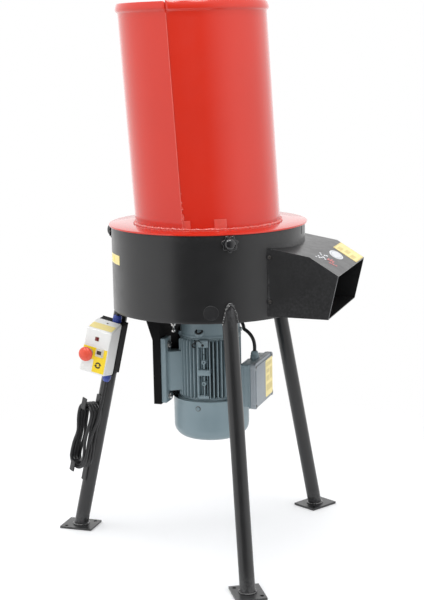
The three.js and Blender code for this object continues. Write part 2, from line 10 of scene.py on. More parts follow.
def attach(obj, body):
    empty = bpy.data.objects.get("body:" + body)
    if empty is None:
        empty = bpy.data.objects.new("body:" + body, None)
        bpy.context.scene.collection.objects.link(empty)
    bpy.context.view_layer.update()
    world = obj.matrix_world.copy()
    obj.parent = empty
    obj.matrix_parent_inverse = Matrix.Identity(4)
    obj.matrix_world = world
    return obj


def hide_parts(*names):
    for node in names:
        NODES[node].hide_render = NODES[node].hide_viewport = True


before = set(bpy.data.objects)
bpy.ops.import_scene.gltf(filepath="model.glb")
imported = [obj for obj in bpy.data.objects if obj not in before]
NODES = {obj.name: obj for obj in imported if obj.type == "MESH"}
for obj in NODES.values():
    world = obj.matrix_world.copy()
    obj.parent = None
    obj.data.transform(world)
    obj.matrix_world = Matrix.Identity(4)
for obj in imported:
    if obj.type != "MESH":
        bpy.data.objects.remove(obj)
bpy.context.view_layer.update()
AX = 27.5
MM = 0.001
RAD = math.pi / 180
scene = bpy.context.scene


def to_m(p):
    return Vector(((p[0] + AX) * MM, p[1] * MM, p[2] * MM))


# ------------------------------------------------------------------ camera, light, stage
cam_data = bpy.data.cameras.new("camera")
cam = bpy.data.objects.new("camera", cam_data)
scene.collection.objects.link(cam)
PSI, PITCH, ROLL = 18.472 * RAD, 10.65 * RAD, -1.156 * RAD
fwd = Vector((-math.sin(PSI) * math.cos(PITCH), math.cos(PSI) * math.cos(PITCH), -math.sin(PITCH)))
right = Vector((math.cos(PSI), math.sin(PSI), 0))
up = right.cross(fwd)
r_ = math.cos(ROLL) * right + math.sin(ROLL) * up
u_ = -math.sin(ROLL) * right + math.cos(ROLL) * up
cam.matrix_world = Matrix((
    (r_.x, u_.x, -fwd.x, 1.0380), (r_.y, u_.y, -fwd.y, -3.0251), (r_.z, u_.z, -fwd.z, 1.2021), (0, 0, 0, 1)))
cam_data.sensor_width = 36
cam_data.lens = 81
cam_data.shift_x = 0.0041
cam_data.clip_start, cam_data.clip_end = 0.05, 60
scene.camera = cam
scene.view_settings.view_transform = "Standard"
scene.view_settings.look = "None"

world = bpy.data.worlds.new("studio")
scene.world = world
world.use_nodes = True
wn, wl = world.node_tree.nodes, world.node_tree.links
wn.clear()
# Soft studio all round for diffuse light. The gloss sees bright side walls, a dark camera side and a bright back.
RAD0 = math.pi / 180


def dir_az(a, z=0.0):
    t = -90 * RAD0 + PSI + a * RAD0
    return (math.cos(t), math.sin(t), z)


def wmath(op, a, b=None):
    x = wn.new("ShaderNodeMath")
    x.operation = op
    for k, v in ((0, a), (1, b)):
        if v is None:
            continue
        if isinstance(v, (int, float)):
            x.inputs[k].default_value = v
        else:
            wl.new(v, x.inputs[k])
    return x.outputs[0]


def wramp(src, a, b, lo, hi):
    x = wn.new("ShaderNodeMapRange")
    x.interpolation_type = "SMOOTHSTEP"
    for k, v in (("From Min", a), ("From Max", b), ("To Min", lo), ("To Max", hi)):
        x.inputs[k].default_value = v
    wl.new(src, x.inputs["Value"])
    return x.outputs[0]


w_out, w_mix, w_lp = wn.new("ShaderNodeOutputWorld"), wn.new("ShaderNodeMixShader"), wn.new("ShaderNodeLightPath")
w_tc = wn.new("ShaderNodeTexCoord")
w_sep = wn.new("ShaderNodeSeparateXYZ")
wl.new(w_tc.outputs["Generated"], w_sep.inputs[0])


def wdot(v):
    x = wn.new("ShaderNodeVectorMath")
    x.operation = "DOT_PRODUCT"
    wl.new(w_tc.outputs["Generated"], x.inputs[0])
    x.inputs[1].default_value = v
    return x.outputs["Value"]


left_edge = wramp(wdot(dir_az(48.5)), -0.035, 0.035, 0.0, 1.0)
right_soft = wramp(wdot(dir_az(-84)), -0.92, 0.05, 0.0, 1.0)
low = wramp(w_sep.outputs["Z"], 0.30, 0.75, 1.0, 0.0)
dark = wmath("MULTIPLY", wmath("MULTIPLY", left_edge, right_soft), low)
back = wmath("MULTIPLY", wramp(wdot(dir_az(0)), -0.80, -0.15, 1.0, 0.0), low)
lit = wmath("MULTIPLY", wmath("SUBTRACT", 1.0, wmath("MULTIPLY", dark, 0.97)), wmath("ADD", 1.0, wmath("MULTIPLY", back, 0.12)))
# two soft lamps high up, seen only in reflections: the sparkle on knobs and weld beads
for az_, up_, k_ in ((-42, 52, 10.0), (14, 58, 8.0)):
    h_ = dir_az(az_)
    spot = wdot((h_[0] * math.cos(up_ * RAD0), h_[1] * math.cos(up_ * RAD0), math.sin(up_ * RAD0)))
    lit = wmath("ADD", lit, wmath("MULTIPLY", wramp(spot, math.cos(13 * RAD0), math.cos(8 * RAD0), 0.0, 1.0), k_))
w_a, w_b, w_c = wn.new("ShaderNodeBackground"), wn.new("ShaderNodeBackground"), wn.new("ShaderNodeBackground")
w_a.inputs["Color"].default_value = (0.97, 0.98, 1.0, 1)
w_a.inputs["Strength"].default_value = 0.94
w_b.inputs["Color"].default_value = (1, 1, 1, 1)
w_b.inputs["Strength"].default_value = 1.0
w_c.inputs["Color"].default_value = (1, 1, 1, 1)
wl.new(wmath("MULTIPLY", lit, 1.12), w_c.inputs["Strength"])
w_mix2 = wn.new("ShaderNodeMixShader")
wl.new(w_lp.outputs["Is Glossy Ray"], w_mix2.inputs[0])
wl.new(w_a.outputs[0], w_mix2.inputs[1])
wl.new(w_c.outputs[0], w_mix2.inputs[2])
wl.new(w_lp.outputs["Is Camera Ray"], w_mix.inputs[0])
wl.new(w_mix2.outputs[0], w_mix.inputs[1])
wl.new(w_b.outputs[0], w_mix.inputs[2])
wl.new(w_mix.outputs[0], w_out.inputs["Surface"])


def area(name, loc, target, size, size_y, power, color=(1, 1, 1)):
    d = bpy.data.lights.new(name, "AREA")
    d.shape, d.size, d.size_y, d.energy, d.color = "RECTANGLE", size, size_y, power, color
    o = bpy.data.objects.new(name, d)
    scene.collection.objects.link(o)
    o.location = loc
    o.rotation_euler = (Vector(target) - Vector(loc)).to_track_quat("-Z", "Y").to_euler()
    o.visible_camera = False
    return o


def around(az, dist, z):
    """A point at an azimuth measured from the camera side, positive to the camera's right."""
    a = -90 * RAD + PSI + az * RAD
    return (dist * math.cos(a), dist * math.sin(a), z)


for nm_, loc_, sx_, sy_, pw_ in (("softbox_left", around(-100, 2.4, 1.3), 1.6, 2.4, 12), ("softbox_right", around(70, 2.5, 1.3), 1.8, 2.4, 11), ("softbox_front", around(-8, 3.2, 1.8), 1.8, 2.0, 20),
                                 ("softbox_top", (0.2, -0.5, 3.1), 2.8, 2.4, 33), ("softbox_back", around(176, 3.0, 1.8), 2.4, 1.6, 11)):
    area(nm_, loc_, (0, 0, 0.7), sx_, sy_, pw_).visible_glossy = False


# ------------------------------------------------------------------ materials
def material(name, base, rough, metal=0.0, coat=0.0, coat_rough=0.06, var=0.06, var_scale=9.0, rough_var=0.05,
             bump=0.12, bump_scale=900.0, bump_dist=0.0003, stretch=(1, 1, 1), wear=0.0, wear_color=(0.3, 0.3, 0.3),
             dust=0.0, dust_color=(0.35, 0.33, 0.3), spec=0.5, wave=None):
    m = bpy.data.materials.new(name)
    m.use_nodes = True
    n, l = m.node_tree.nodes, m.node_tree.links
    n.clear()
    out, bs = n.new("ShaderNodeOutputMaterial"), n.new("ShaderNodeBsdfPrincipled")
    l.new(bs.outputs[0], out.inputs["Surface"])
    bs.inputs["Metallic"].default_value = metal
    bs.inputs["Specular IOR Level"].default_value = spec
    bs.inputs["Coat Weight"].default_value = coat
    bs.inputs["Coat Roughness"].default_value = coat_rough
    tc, mp = n.new("ShaderNodeTexCoord"), n.new("ShaderNodeMapping")
    mp.inputs["Scale"].default_value = stretch
    l.new(tc.outputs["Object"], mp.inputs["Vector"])

    def nz(scale, detail=5.0, roughness=0.55):
        x = n.new("ShaderNodeTexNoise")
        x.inputs["Scale"].default_value = scale
        x.inputs["Detail"].default_value = detail
        x.inputs["Roughness"].default_value = roughness
        l.new(mp.outputs[0], x.inputs["Vector"])
        return x

    def mixc(fac, a, b):
        x = n.new("ShaderNodeMix")
        x.data_type = "RGBA"
        for k, v in ((0, fac), (6, a), (7, b)):
            if isinstance(v, (tuple, list)):
                x.inputs[k].default_value = (*v[:3], 1)
            elif isinstance(v, (int, float)):
                x.inputs[k].default_value = v
            else:
                l.new(v, x.inputs[k])
        return x.outputs[2]

    def ranged(src, lo, hi, a=0.3, b=0.7):
        x = n.new("ShaderNodeMapRange")
        x.inputs["From Min"].default_value, x.inputs["From Max"].default_value = a, b
        x.inputs["To Min"].default_value, x.inputs["To Max"].default_value = lo, hi
        l.new(src, x.inputs["Value"])
        return x.outputs[0]

    n1 = nz(var_scale, 6)
    dark = tuple(c * (1 - var) for c in base)
    light = tuple(min(1, c * (1 + var) + 0.003 * var) for c in base)
    col = mixc(ranged(n1.outputs["Fac"], 0, 1), dark, light)
    n2 = nz(var_scale * 6.3, 8, 0.65)
    rgh = ranged(n2.outputs["Fac"], max(0.02, rough - rough_var), min(1, rough + rough_var))
    if dust:
        nd = nz(var_scale * 2.1, 9, 0.7)
        col = mixc(ranged(nd.outputs["Fac"], 0, dust, 0.5, 0.75), col, dust_color)
    if wear:
        geo = n.new("ShaderNodeNewGeometry")
        p = ranged(geo.outputs["Pointiness"], 0, 1, 0.53, 0.6)
        nw = nz(160, 6, 0.7)
        mul = n.new("ShaderNodeMath")
        mul.operation = "MULTIPLY"
        l.new(p, mul.inputs[0])
        l.new(ranged(nw.outputs["Fac"], 0, wear, 0.42, 0.62), mul.inputs[1])
        col = mixc(mul.outputs[0], col, wear_color)
    l.new(col, bs.inputs["Base Color"])
    l.new(rgh, bs.inputs["Roughness"])
    n3 = nz(bump_scale, 4)
    bp = n.new("ShaderNodeBump")
    bp.inputs["Strength"].default_value = bump
    bp.inputs["Distance"].default_value = bump_dist
    h = n3.outputs["Fac"]
    if wave:
        wv = n.new("ShaderNodeTexNoise")
        wv.inputs["Scale"].default_value = wave[0]
        wv.inputs["Detail"].default_value = 2
        l.new(tc.outputs["Object"], wv.inputs["Vector"])
        b2 = n.new("ShaderNodeBump")
        b2.inputs["Strength"].default_value = wave[1]
        b2.inputs["Distance"].default_value = wave[2]
        l.new(wv.outputs["Fac"], b2.inputs["Height"])
        l.new(b2.outputs[0], bp.inputs["Normal"])
    l.new(h, bp.inputs["Height"])
    l.new(bp.outputs[0], bs.inputs["Normal"])
    if coat and wave:
        l.new(b2.outputs[0], bs.inputs["Coat Normal"])
    return m


RED = material("red_enamel", (0.555, 0.0255, 0.0112), 0.14, coat=0.20, coat_rough=0.04, rough_var=0.03, var=0.035, var_scale=4, bump=0.05, bump_scale=500, wave=(11, 0.10, 0.0009), dust=0.03, dust_color=(0.6, 0.10, 0.07))
BLACK = material("black_enamel", (0.0122, 0.0122, 0.0127), 0.34, coat=0.10, coat_rough=0.16, var=0.10, var_scale=6, bump=0.06, bump_scale=600, wave=(12, 0.12, 0.0008), dust=0.025, dust_color=(0.05, 0.05, 0.05), wear=0.45, wear_color=(0.13, 0.13, 0.135))
# near-black enamel for the drum's inside, its blanking disc and its seam strip; on the cowl's slot patches it is
# painted shade standing for open vents
BLACK_IN_AND_VENT_SHADE = material("black_enamel_inside_and_painted_vent_shade", (0.010, 0.010, 0.011), 0.5, var=0.15, dust=0.05, dust_color=(0.03, 0.028, 0.026), bump=0.05)
WELD_BLACK = material("painted_weld_black", (0.02, 0.02, 0.021), 0.16, coat=0.9, coat_rough=0.04, var=0.2, var_scale=60, bump=0.5, bump_scale=420, bump_dist=0.0008)
# darker, duller copy of the black enamel: painted shade for parts under the drum and beside the switch box
BLACK_SHADED_COPY = material("black_enamel_painted_shade", (0.0070, 0.0070, 0.0074), 0.66, spec=0.06, var=0.12, var_scale=8, bump=0.10, bump_scale=500, dust=0.03, dust_color=(0.03, 0.03, 0.03))
SWITCH_BLACK = material("black_switch_base", (0.0062, 0.0062, 0.0068), 0.62, spec=0.05, var=0.12, var_scale=30, bump=0.15, bump_scale=1400, bump_dist=0.00015)
WORN_EDGE = material("worn_sheet_edge", (0.15, 0.15, 0.155), 0.38, metal=0.3, var=0.25, var_scale=70, bump=0.3, bump_scale=600)
# lighter copy of the red enamel for the seam's lap bead and the two foot tabs: painted highlight on their edges and
# faces
RED_EDGE_HIGHLIGHT = material("red_enamel_painted_edge_highlight", (0.64, 0.085, 0.062), 0.16, coat=0.5, coat_rough=0.05, var=0.10, var_scale=40, bump=0.12, bump_scale=300)
CREAM = material("cream_plastic", (0.60, 0.57, 0.48), 0.38, var=0.06, var_scale=40, bump=0.2, bump_scale=1400, bump_dist=0.00015)
WELD_RED = material("painted_weld_red", (0.62, 0.070, 0.048), 0.16, coat=0.9, coat_rough=0.05, var=0.08, var_scale=60, bump=0.5, bump_scale=380, bump_dist=0.0008)
MOTOR = material("cast_grey_blue", (0.165, 0.225, 0.250), 0.46, coat=0.1, coat_rough=0.25, var=0.07, var_scale=11, bump=0.30, bump_scale=420, bump_dist=0.0003, dust=0.08, dust_color=(0.26, 0.30, 0.32), wear=0.3, wear_color=(0.36, 0.40, 0.42))
# near-black copy of the cast grey-blue, with lighter dust: painted shade for the core between the fins
MOTOR_FIN_GAP_SHADE = material("cast_grey_blue_painted_fin_gap_shade", (0.018, 0.029, 0.034), 0.6, var=0.2, var_scale=30, bump=0.4, bump_scale=420, dust=0.2, dust_color=(0.07, 0.085, 0.09))
LID_GREY = material("terminal_lid_grey", (0.235, 0.262, 0.285), 0.42, var=0.05, var_scale=20, bump=0.12, bump_scale=700, dust=0.06, dust_color=(0.32, 0.34, 0.35))
COWL = material("pressed_grey_blue", (0.165, 0.228, 0.255), 0.38, coat=0.15, coat_rough=0.2, var=0.05, var_scale=6, bump=0.12, bump_scale=800, wave=(10, 0.2, 0.001), dust=0.05, dust_color=(0.25, 0.29, 0.31))
ZINC = material("bright_zinc", (0.66, 0.66, 0.65), 0.24, metal=1, var=0.10, var_scale=90, rough_var=0.08, bump=0.15, bump_scale=1200)
STEEL = material("machined_steel", (0.50, 0.50, 0.51), 0.32, metal=1, var=0.08, var_scale=40, rough_var=0.08, bump=0.2, bump_scale=300, stretch=(1, 1, 14))
STAINLESS = material("brushed_stainless", (0.55, 0.55, 0.56), 0.34, metal=1, var=0.07, var_scale=12, rough_var=0.07, bump=0.25, bump_scale=260, stretch=(1, 18, 1))
LAMINATION = material("lamination", (0.10, 0.10, 0.105), 0.45, metal=0.8, var=0.2, var_scale=30, bump=0.6, bump_scale=900, stretch=(0.2, 0.2, 6))
BLACK_PLASTIC = material("black_plastic", (0.011, 0.011, 0.012), 0.5, spec=0.35, var=0.12, var_scale=30, bump=0.15, bump_scale=1400, bump_dist=0.00015)
KNOB_PLASTIC = material("knob_thermoset", (0.012, 0.012, 0.013), 0.14, coat=0.5, coat_rough=0.05, var=0.1, var_scale=40, bump=0.06, bump_scale=900)
WHITE_PLASTIC = material("white_abs", (0.74, 0.74, 0.72), 0.36, var=0.03, var_scale=14, bump=0.22, bump_scale=1600, bump_dist=0.00015, dust=0.05, dust_color=(0.55, 0.54, 0.5))
YELLOW = material("yellow_foil", (0.86, 0.63, 0.02), 0.30, var=0.04, var_scale=30, bump=0.08, bump_scale=500, coat=0.2)
PALE_YELLOW = material("pale_yellow_foil", (0.80, 0.66, 0.22), 0.34, var=0.05, var_scale=30, bump=0.08, bump_scale=500, coat=0.15)
WHITE_INK = material("white_print", (0.62, 0.64, 0.66), 0.35, var=0.05, var_scale=60, bump=0.05)
GREY_INK = material("grey_print", (0.38, 0.42, 0.45), 0.35, var=0.06, var_scale=60, bump=0.05)
RED_INK = material("red_print", (0.42, 0.085, 0.085), 0.35, var=0.06, var_scale=60, bump=0.05)
DARK_INK = material("dark_print", (0.035, 0.03, 0.02), 0.35, var=0.1, var_scale=60, bump=0.05)
BLUE_PLASTIC = material("blue_nylon", (0.034, 0.062, 0.31), 0.30, var=0.08, var_scale=40, bump=0.15, bump_scale=1300, bump_dist=0.00015)
ESTOP_RED = material("estop_red", (0.68, 0.075, 0.040), 0.32, coat=0.1, coat_rough=0.15, var=0.05, var_scale=40, bump=0.10, bump_scale=1500, bump_dist=0.00015)
LENS_RED = material("smoked_red_lens", (0.14, 0.012, 0.014), 0.10, coat=0.8, coat_rough=0.03, var=0.2, var_scale=120, bump=0.2, bump_scale=260)
GREY_PLASTIC = material("grey_plastic", (0.33, 0.34, 0.34), 0.38, var=0.06, var_scale=40, bump=0.2, bump_scale=1400, bump_dist=0.00015)
RUBBER = material("black_rubber", (0.013, 0.013, 0.014), 0.48, var=0.18, var_scale=60, rough_var=0.08, bump=0.35, bump_scale=1100, bump_dist=0.0002, dust=0.10, dust_color=(0.07, 0.07, 0.068))
DARK_METAL = material("dark_screw", (0.10, 0.095, 0.09), 0.38, metal=0.9, var=0.2, var_scale=120, bump=0.2)
STRAW = material("straw_print", (0.62, 0.50, 0.17), 0.4, var=0.08, var_scale=80, bump=0.05)
BROWN_PLASTIC = material("dark_brown_button", (0.045, 0.036, 0.030), 0.3, var=0.15, var_scale=60, bump=0.12, bump_scale=900, bump_dist=0.00015)
BRASS = material("plug_pin_nickel", (0.60, 0.57, 0.50), 0.22, metal=1, var=0.08, var_scale=100, bump=0.1)


# ------------------------------------------------------------------ mesh tools
def merge(*parts):
    """Joins (verts, faces) or (verts, faces, material index) lists."""
    v, f, mi = [], [], []
    for p in parts:
        pv, pf = p[0], p[1]
        k = p[2] if len(p) > 2 else 0
        o = len(v)
        v += [tuple(q) for q in pv]
        f += [[o + i for i in q] for q in pf]
        mi += list(k) if isinstance(k, (list, tuple)) else [k] * len(pf)
    return v, f, mi


def moved(part, M):
    return ([tuple(M @ Vector(p)) for p in part[0]], part[1], *part[2:])


def spin(part, az):
    return moved(part, Matrix.Rotation(az * RAD, 4, "Z"))


def make(name, part, mats, body, angle=32, replaces=(), M=None):
    v, f = part[0], part[1]
    mi = part[2] if len(part) > 2 else 0
    if M is not None:
        v = [M @ Vector(p) for p in v]
    me = bpy.data.meshes.new(name)
    me.from_pydata([to_m(p) for p in v], [], f)
    bm = bmesh.new()
    bm.from_mesh(me)
    if isinstance(mi, (list, tuple)):
        for q, k in zip(bm.faces, mi):
            q.material_index = k
    bmesh.ops.remove_doubles(bm, verts=bm.verts, dist=1e-6)
    bmesh.ops.recalc_face_normals(bm, faces=bm.faces)
    bm.to_mesh(me)
    bm.free()
    for m in (mats if isinstance(mats, (list, tuple)) else [mats]):
        me.materials.append(m)
    me.polygons.foreach_set("use_smooth", [True] * len(me.polygons))
    me.set_sharp_from_angle(angle=angle * RAD)
    o = bpy.data.objects.new(name, me)
    scene.collection.objects.link(o)
    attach(o, body)
    if replaces:
        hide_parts(*((replaces,) if isinstance(replaces, str) else replaces))
    return o


def revolve(profile, seg=96, closed=True, rfun=None):
    """Turns (r, z) points about Z. closed joins the last point to the first; points on the axis are merged later."""
    v, f = [], []
    n = len(profile)
    for i in range(seg):
        t = 2 * math.pi * i / seg
        for r, z in profile:
            k = rfun(t, r, z) if rfun else r
            v.append((k * math.cos(t), k * math.sin(t), z))
    rows = n if closed else n - 1
    for i in range(seg):
        j = (i + 1) % seg
        for k in range(rows):
            a, b = k, (k + 1) % n
            q = [i * n + a, j * n + a, j * n + b, i * n + b]
            ra, rb = profile[a][0], profile[b][0]
            if ra < 1e-9 and rb < 1e-9:
                continue
            if ra < 1e-9:
                q = [q[0], q[2], q[3]]
            elif rb < 1e-9:
                q = q[:3]
            f.append(q)
    return v, f


def prism(poly, h0, h1, plane="xy"):
    put = {"xy": lambda a, b, h: (a, b, h), "xz": lambda a, b, h: (a, h, b), "yz": lambda a, b, h: (h, a, b)}[plane]
    n = len(poly)
    v = [put(a, b, h0) for a, b in poly] + [put(a, b, h1) for a, b in poly]
    f = [list(range(n))[::-1], list(range(n, 2 * n))] + [[i, (i + 1) % n, n + (i + 1) % n, n + i] for i in range(n)]
    return v, f


def block(x0, x1, y0, y1, z0, z1):
    return prism([(x0, y0), (x1, y0), (x1, y1), (x0, y1)], z0, z1)


def bevel(part, w, seg=2, angle=25):
    bm = bmesh.new()
    vs = [bm.verts.new(p) for p in part[0]]
    for q in part[1]:
        bm.faces.new([vs[i] for i in q])
    bmesh.ops.recalc_face_normals(bm, faces=bm.faces)
    es = [e for e in bm.edges if len(e.link_faces) == 2 and e.calc_face_angle(0) > angle * RAD]
    bmesh.ops.bevel(bm, geom=es, offset=w, segments=seg, profile=0.5, affect="EDGES", clamp_overlap=True)
    bm.verts.index_update()
    out = ([tuple(v.co) for v in bm.verts], [[v.index for v in q.verts] for q in bm.faces])
    bm.free()
    return out


def circ(r, n, cx=0, cy=0, t0=0):
    return [(cx + r * math.cos(t0 + 2 * math.pi * i / n), cy + r * math.sin(t0 + 2 * math.pi * i / n)) for i in range(n)]


def frames_along(pts, closed=False):
    P = [Vector(p) for p in pts]
    n = len(P)
    T = []
    for i in range(n):
        a = P[(i - 1) % n] if closed or i > 0 else P[i]
        b = P[(i + 1) % n] if closed or i < n - 1 else P[i]
        T.append((b - a).normalized())
    ref = Vector((0, 0, 1)) if abs(T[0].z) < 0.9 else Vector((1, 0, 0))
    N = [(ref - ref.dot(T[0]) * T[0]).normalized()]
    for i in range(1, n):
        x = N[-1] - N[-1].dot(T[i]) * T[i]
        N.append(x.normalized())
    return P, T, N


def sweep(pts, r, sides=12, closed=False, caps=True, squash=1.0):
    P, T, N = frames_along(pts, closed)
    n = len(P)
    v, f = [], []
    for i in range(n):
        B = T[i].cross(N[i])
        k = r(i) if callable(r) else r
        for s in range(sides):
            t = 2 * math.pi * s / sides
            v.append(tuple(P[i] + k * (math.cos(t) * N[i] + squash * math.sin(t) * B)))
    for i in range(n if closed else n - 1):
        j = (i + 1) % n
        for s in range(sides):
            q = (s + 1) % sides
            f.append([i * sides + s, i * sides + q, j * sides + q, j * sides + s])
    if caps and not closed:
        f.append(list(range(sides))[::-1])
        f.append([(n - 1) * sides + s for s in range(sides)])
    return v, f


def resample(pts, step):
    P = [Vector(p) for p in pts]
    d = [0.0]
    for a, b in zip(P, P[1:]):
        d.append(d[-1] + (b - a).length)
    n = max(2, round(d[-1] / step))
    out, k = [], 0
    for i in range(n + 1):
        s = d[-1] * i / n
        while k < len(P) - 2 and d[k + 1] < s:
            k += 1
        t = (s - d[k]) / max(1e-9, d[k + 1] - d[k])
        out.append(P[k].lerp(P[k + 1], min(1, max(0, t))))
    return out


def spline(pts, per=10):
    """Centripetal Catmull-Rom through the points."""
    P = [Vector(p) for p in pts]
    P = [P[0] * 2 - P[1]] + P + [P[-1] * 2 - P[-2]]
    out = []
    for i in range(1, len(P) - 2):
        p0, p1, p2, p3 = P[i - 1:i + 3]
        t0 = 0.0
        t1 = t0 + max(1e-6, (p1 - p0).length) ** 0.5
        t2 = t1 + max(1e-6, (p2 - p1).length) ** 0.5
        t3 = t2 + max(1e-6, (p3 - p2).length) ** 0.5
        for k in range(per):
            t = t1 + (t2 - t1) * k / per
            a1 = (t1 - t) / (t1 - t0) * p0 + (t - t0) / (t1 - t0) * p1
            a2 = (t2 - t) / (t2 - t1) * p1 + (t - t1) / (t2 - t1) * p2
            a3 = (t3 - t) / (t3 - t2) * p2 + (t - t2) / (t3 - t2) * p3
            b1 = (t2 - t) / (t2 - t0) * a1 + (t - t0) / (t2 - t0) * a2
            b2 = (t3 - t) / (t3 - t1) * a2 + (t - t1) / (t3 - t1) * a3
            out.append((t2 - t) / (t2 - t1) * b1 + (t - t1) / (t2 - t1) * b2)
    out.append(P[-2])
    return out


def weld(pts, r=3.0, closed=False, seed=0.0, ripple=5.0, step=1.2, sides=8, rough=0.28):
    """A hand-laid weld bead: overlapping ripples with uneven width."""
    P = resample(pts + ([pts[0]] if closed else []), step)
    if closed:
        P = P[:-1]

    def rad(i):
        s = i * step
        n1 = noise.noise(Vector((s * 0.11 + seed * 7.3, seed, 0.5)))
        n2 = noise.noise(Vector((s * 0.45, seed * 3.1, 4.5)))
        w = abs(math.sin(math.pi * (s / ripple + 0.35 * n1)))
        return r * (0.82 + rough * n1 + 0.5 * rough * n2 + 0.20 * w)

    J = [p + Vector((noise.noise(Vector((i * 0.2, seed, 1))), noise.noise(Vector((i * 0.2, seed, 5))), noise.noise(Vector((i * 0.2, seed, 9))))) * r * 0.22 for i, p in enumerate(P)]
    return sweep(J, rad, sides, closed)


def cad_look(names, mat, bevel_mm=0.0, smooth=False, seg=2):
    """Keeps a CAD node and gives it its material, with soft edges or smooth rounds."""
    for n in names:
        o = NODES[n]
        me = o.data
        for a in ("custom_normal",):
            if a in me.attributes:
                me.attributes.remove(me.attributes[a])
        me.materials.clear()
        me.materials.append(mat)
        me.polygons.foreach_set("material_index", [0] * len(me.polygons))
        me.polygons.foreach_set("use_smooth", [bool(smooth or bevel_mm)] * len(me.polygons))
        w = o.modifiers.new("weld", "WELD")
        w.merge_threshold = 2e-5
        if bevel_mm:
            d = o.modifiers.new("flat", "DECIMATE")
            d.decimate_type = "DISSOLVE"
            d.angle_limit = 1.0 * RAD
            b = o.modifiers.new("edge", "BEVEL")
            b.width = bevel_mm * MM
            b.segments = seg
            b.limit_method = "ANGLE"
            b.angle_limit = 28 * RAD
            b.use_clamp_overlap = True
            b.harden_normals = False
            wnm = o.modifiers.new("normals", "WEIGHTED_NORMAL")
            wnm.keep_sharp = True
        elif smooth:
            e = o.modifiers.new("split", "EDGE_SPLIT")
            e.split_angle = 32 * RAD


# ------------------------------------------------------------------ frames of the rear leg and its hooks
THETA = math.atan(0.2314)
LEG_M = Matrix.Translation((-360.5, 0, 0)) @ Matrix.Rotation(THETA, 4, "Y")
HOOK_M = LEG_M @ Matrix.Rotation(240.6 * RAD, 4, "Z")
A0, S0 = -3.7, 500.5

# ------------------------------------------------------------------ mains cable: one smooth route, gland to plug
TOP, LOW, R0, R1, MAINS_R = 314.0, 200.6, 24.4, 32.5, 4.0
gb_a, gb_b = A0 + 14, -45
c_, n_ = math.cos(240.6 * RAD), math.sin(240.6 * RAD)
gb = (gb_a * c_ + gb_b * n_, -gb_a * n_ + gb_b * c_)


def lerp(a, b, t):
    return a + (b - a) * t


def run(side, R, d0, d1, upward, s_from=None, s_to=None, n=9):
    lo, hi = (LOW if s_from is None else s_from), (TOP if s_to is None else s_to)
    out = []
    for i in range(1, n):
        t = i / n
        s = lerp(lo, hi, t) if upward else lerp(hi, lo, t)
        q = math.sin(math.pi * (s - LOW) / (TOP - LOW)) ** 2
        wob = Vector((d0 * 0.31 + side * 2.7, s * 0.021, R * 0.4))
        out.append((lerp(d0, d1, t) + 2.6 * q * noise.noise(wob), side * (R - (4.5 + 5.0 * noise.noise(wob + Vector((9.1, 0, 3.3)))) * q), s))
    return out


def fold(top, Ra, Rb, d0, d1, n=9):
    """Half turn: at the top from the left run over to the right run, at the bottom from right to left."""
    out = []
    for i in range(n + 1):
        t = i / n
        a = math.pi * t
        R = lerp(Ra, Rb, t)
        if top:
            out.append((lerp(d0, d1, t), -R * math.cos(a), TOP + R * math.sin(a)))
        else:
            out.append((lerp(d0, d1, t), R * math.cos(a), LOW - R * math.sin(a)))
    return out


route = [(gb[0], gb[1], S0 - 90.0), (gb[0], gb[1], S0 - 100), (gb[0] + 0.2, gb[1] + 0.1, S0 - 116), (gb[0] + 0.8, gb[1] + 0.6, S0 - 132), (gb[0] + 1.6, R1 - 0.2, S0 - 150), (gb[0] + 2.6, R1, S0 - 168)]
route += [(37.6, R1, TOP)] + run(1, R1, 37.6, 54, False)
route += fold(False, R1, R0, 54, 54) + run(-1, R0, 54, 54, True)
for d in (54, 45, 36):
    route += fold(True, R0, R0, d, d) + run(1, R0, d, d, False)
    route += fold(False, R0, R0, d, d - 9) + run(-1, R0, d - 9, d - 9, True)
route += fold(True, R0, R0, 27, 27) + run(1, R0, 27, 27, False)
route += fold(False, R0, R1, 27, 38)
SA = TOP - 20
route += run(-1, R1, 38, 38, True, LOW, SA, n=7)
for a in range(0, 181, 15):
    route.append((8 + 30 * math.cos(a * RAD), -(29.9 + 2.5 * math.sin(min(a, 90) * RAD)) if a < 90 else -(32.4 - 1.4 * (a - 90) / 90), SA + 30 * math.sin(a * RAD)))
route += [(-22, -31, SA - 6), (-22, -31, SA - 12.4)]
cable_line = resample(spline([HOOK_M @ Vector(p) for p in route], 8), 3.2)
mains = make("mains_cable", sweep(cable_line, MAINS_R, 14), RUBBER, "frame", replaces=("mains_lead", "mains_hank", "mains_tail"), angle=60)

# plug: moulded rubber, ribbed grip and two pins
px, py, ps = -22, -31, SA - 12.3
grip = revolve([(0, 0), (5.4, 0), (5.9, -1.5), (5.2, -3), (6.3, -5), (5.5, -6.8), (6.8, -9), (6.0, -11), (7.4, -13.4), (6.6, -15.6), (8.2, -18.5), (7.6, -20.5), (10.5, -24.5), (13.8, -29.5), (15.6, -35), (16.3, -42), (16.8, -49), (17.8, -52), (18, -54), (18, -58.8), (17.2, -60), (15.4, -60), (15.0, -58.6), (0, -58.6)], 64, False,
               lambda t, r, z: r * (1 - (0.05 * abs(math.sin(6 * t)) if -48 < z < -27 else 0)))
pins = [revolve([(0, -57), (2.4, -57), (2.4, -77.2), (1.6, -79), (0, -79)], 20, False) for _ in (0, 1)]
plug = merge((*moved(grip, Matrix.Translation((px, py, ps))), 0), (*moved(pins[0], Matrix.Translation((px - 9.5, py, ps))), 1), (*moved(pins[1], Matrix.Translation((px + 9.5, py, ps))), 1))
plug_o = make("mains_plug_moulded", plug, [RUBBER, BRASS], "frame", replaces="mains_plug", M=HOOK_M)

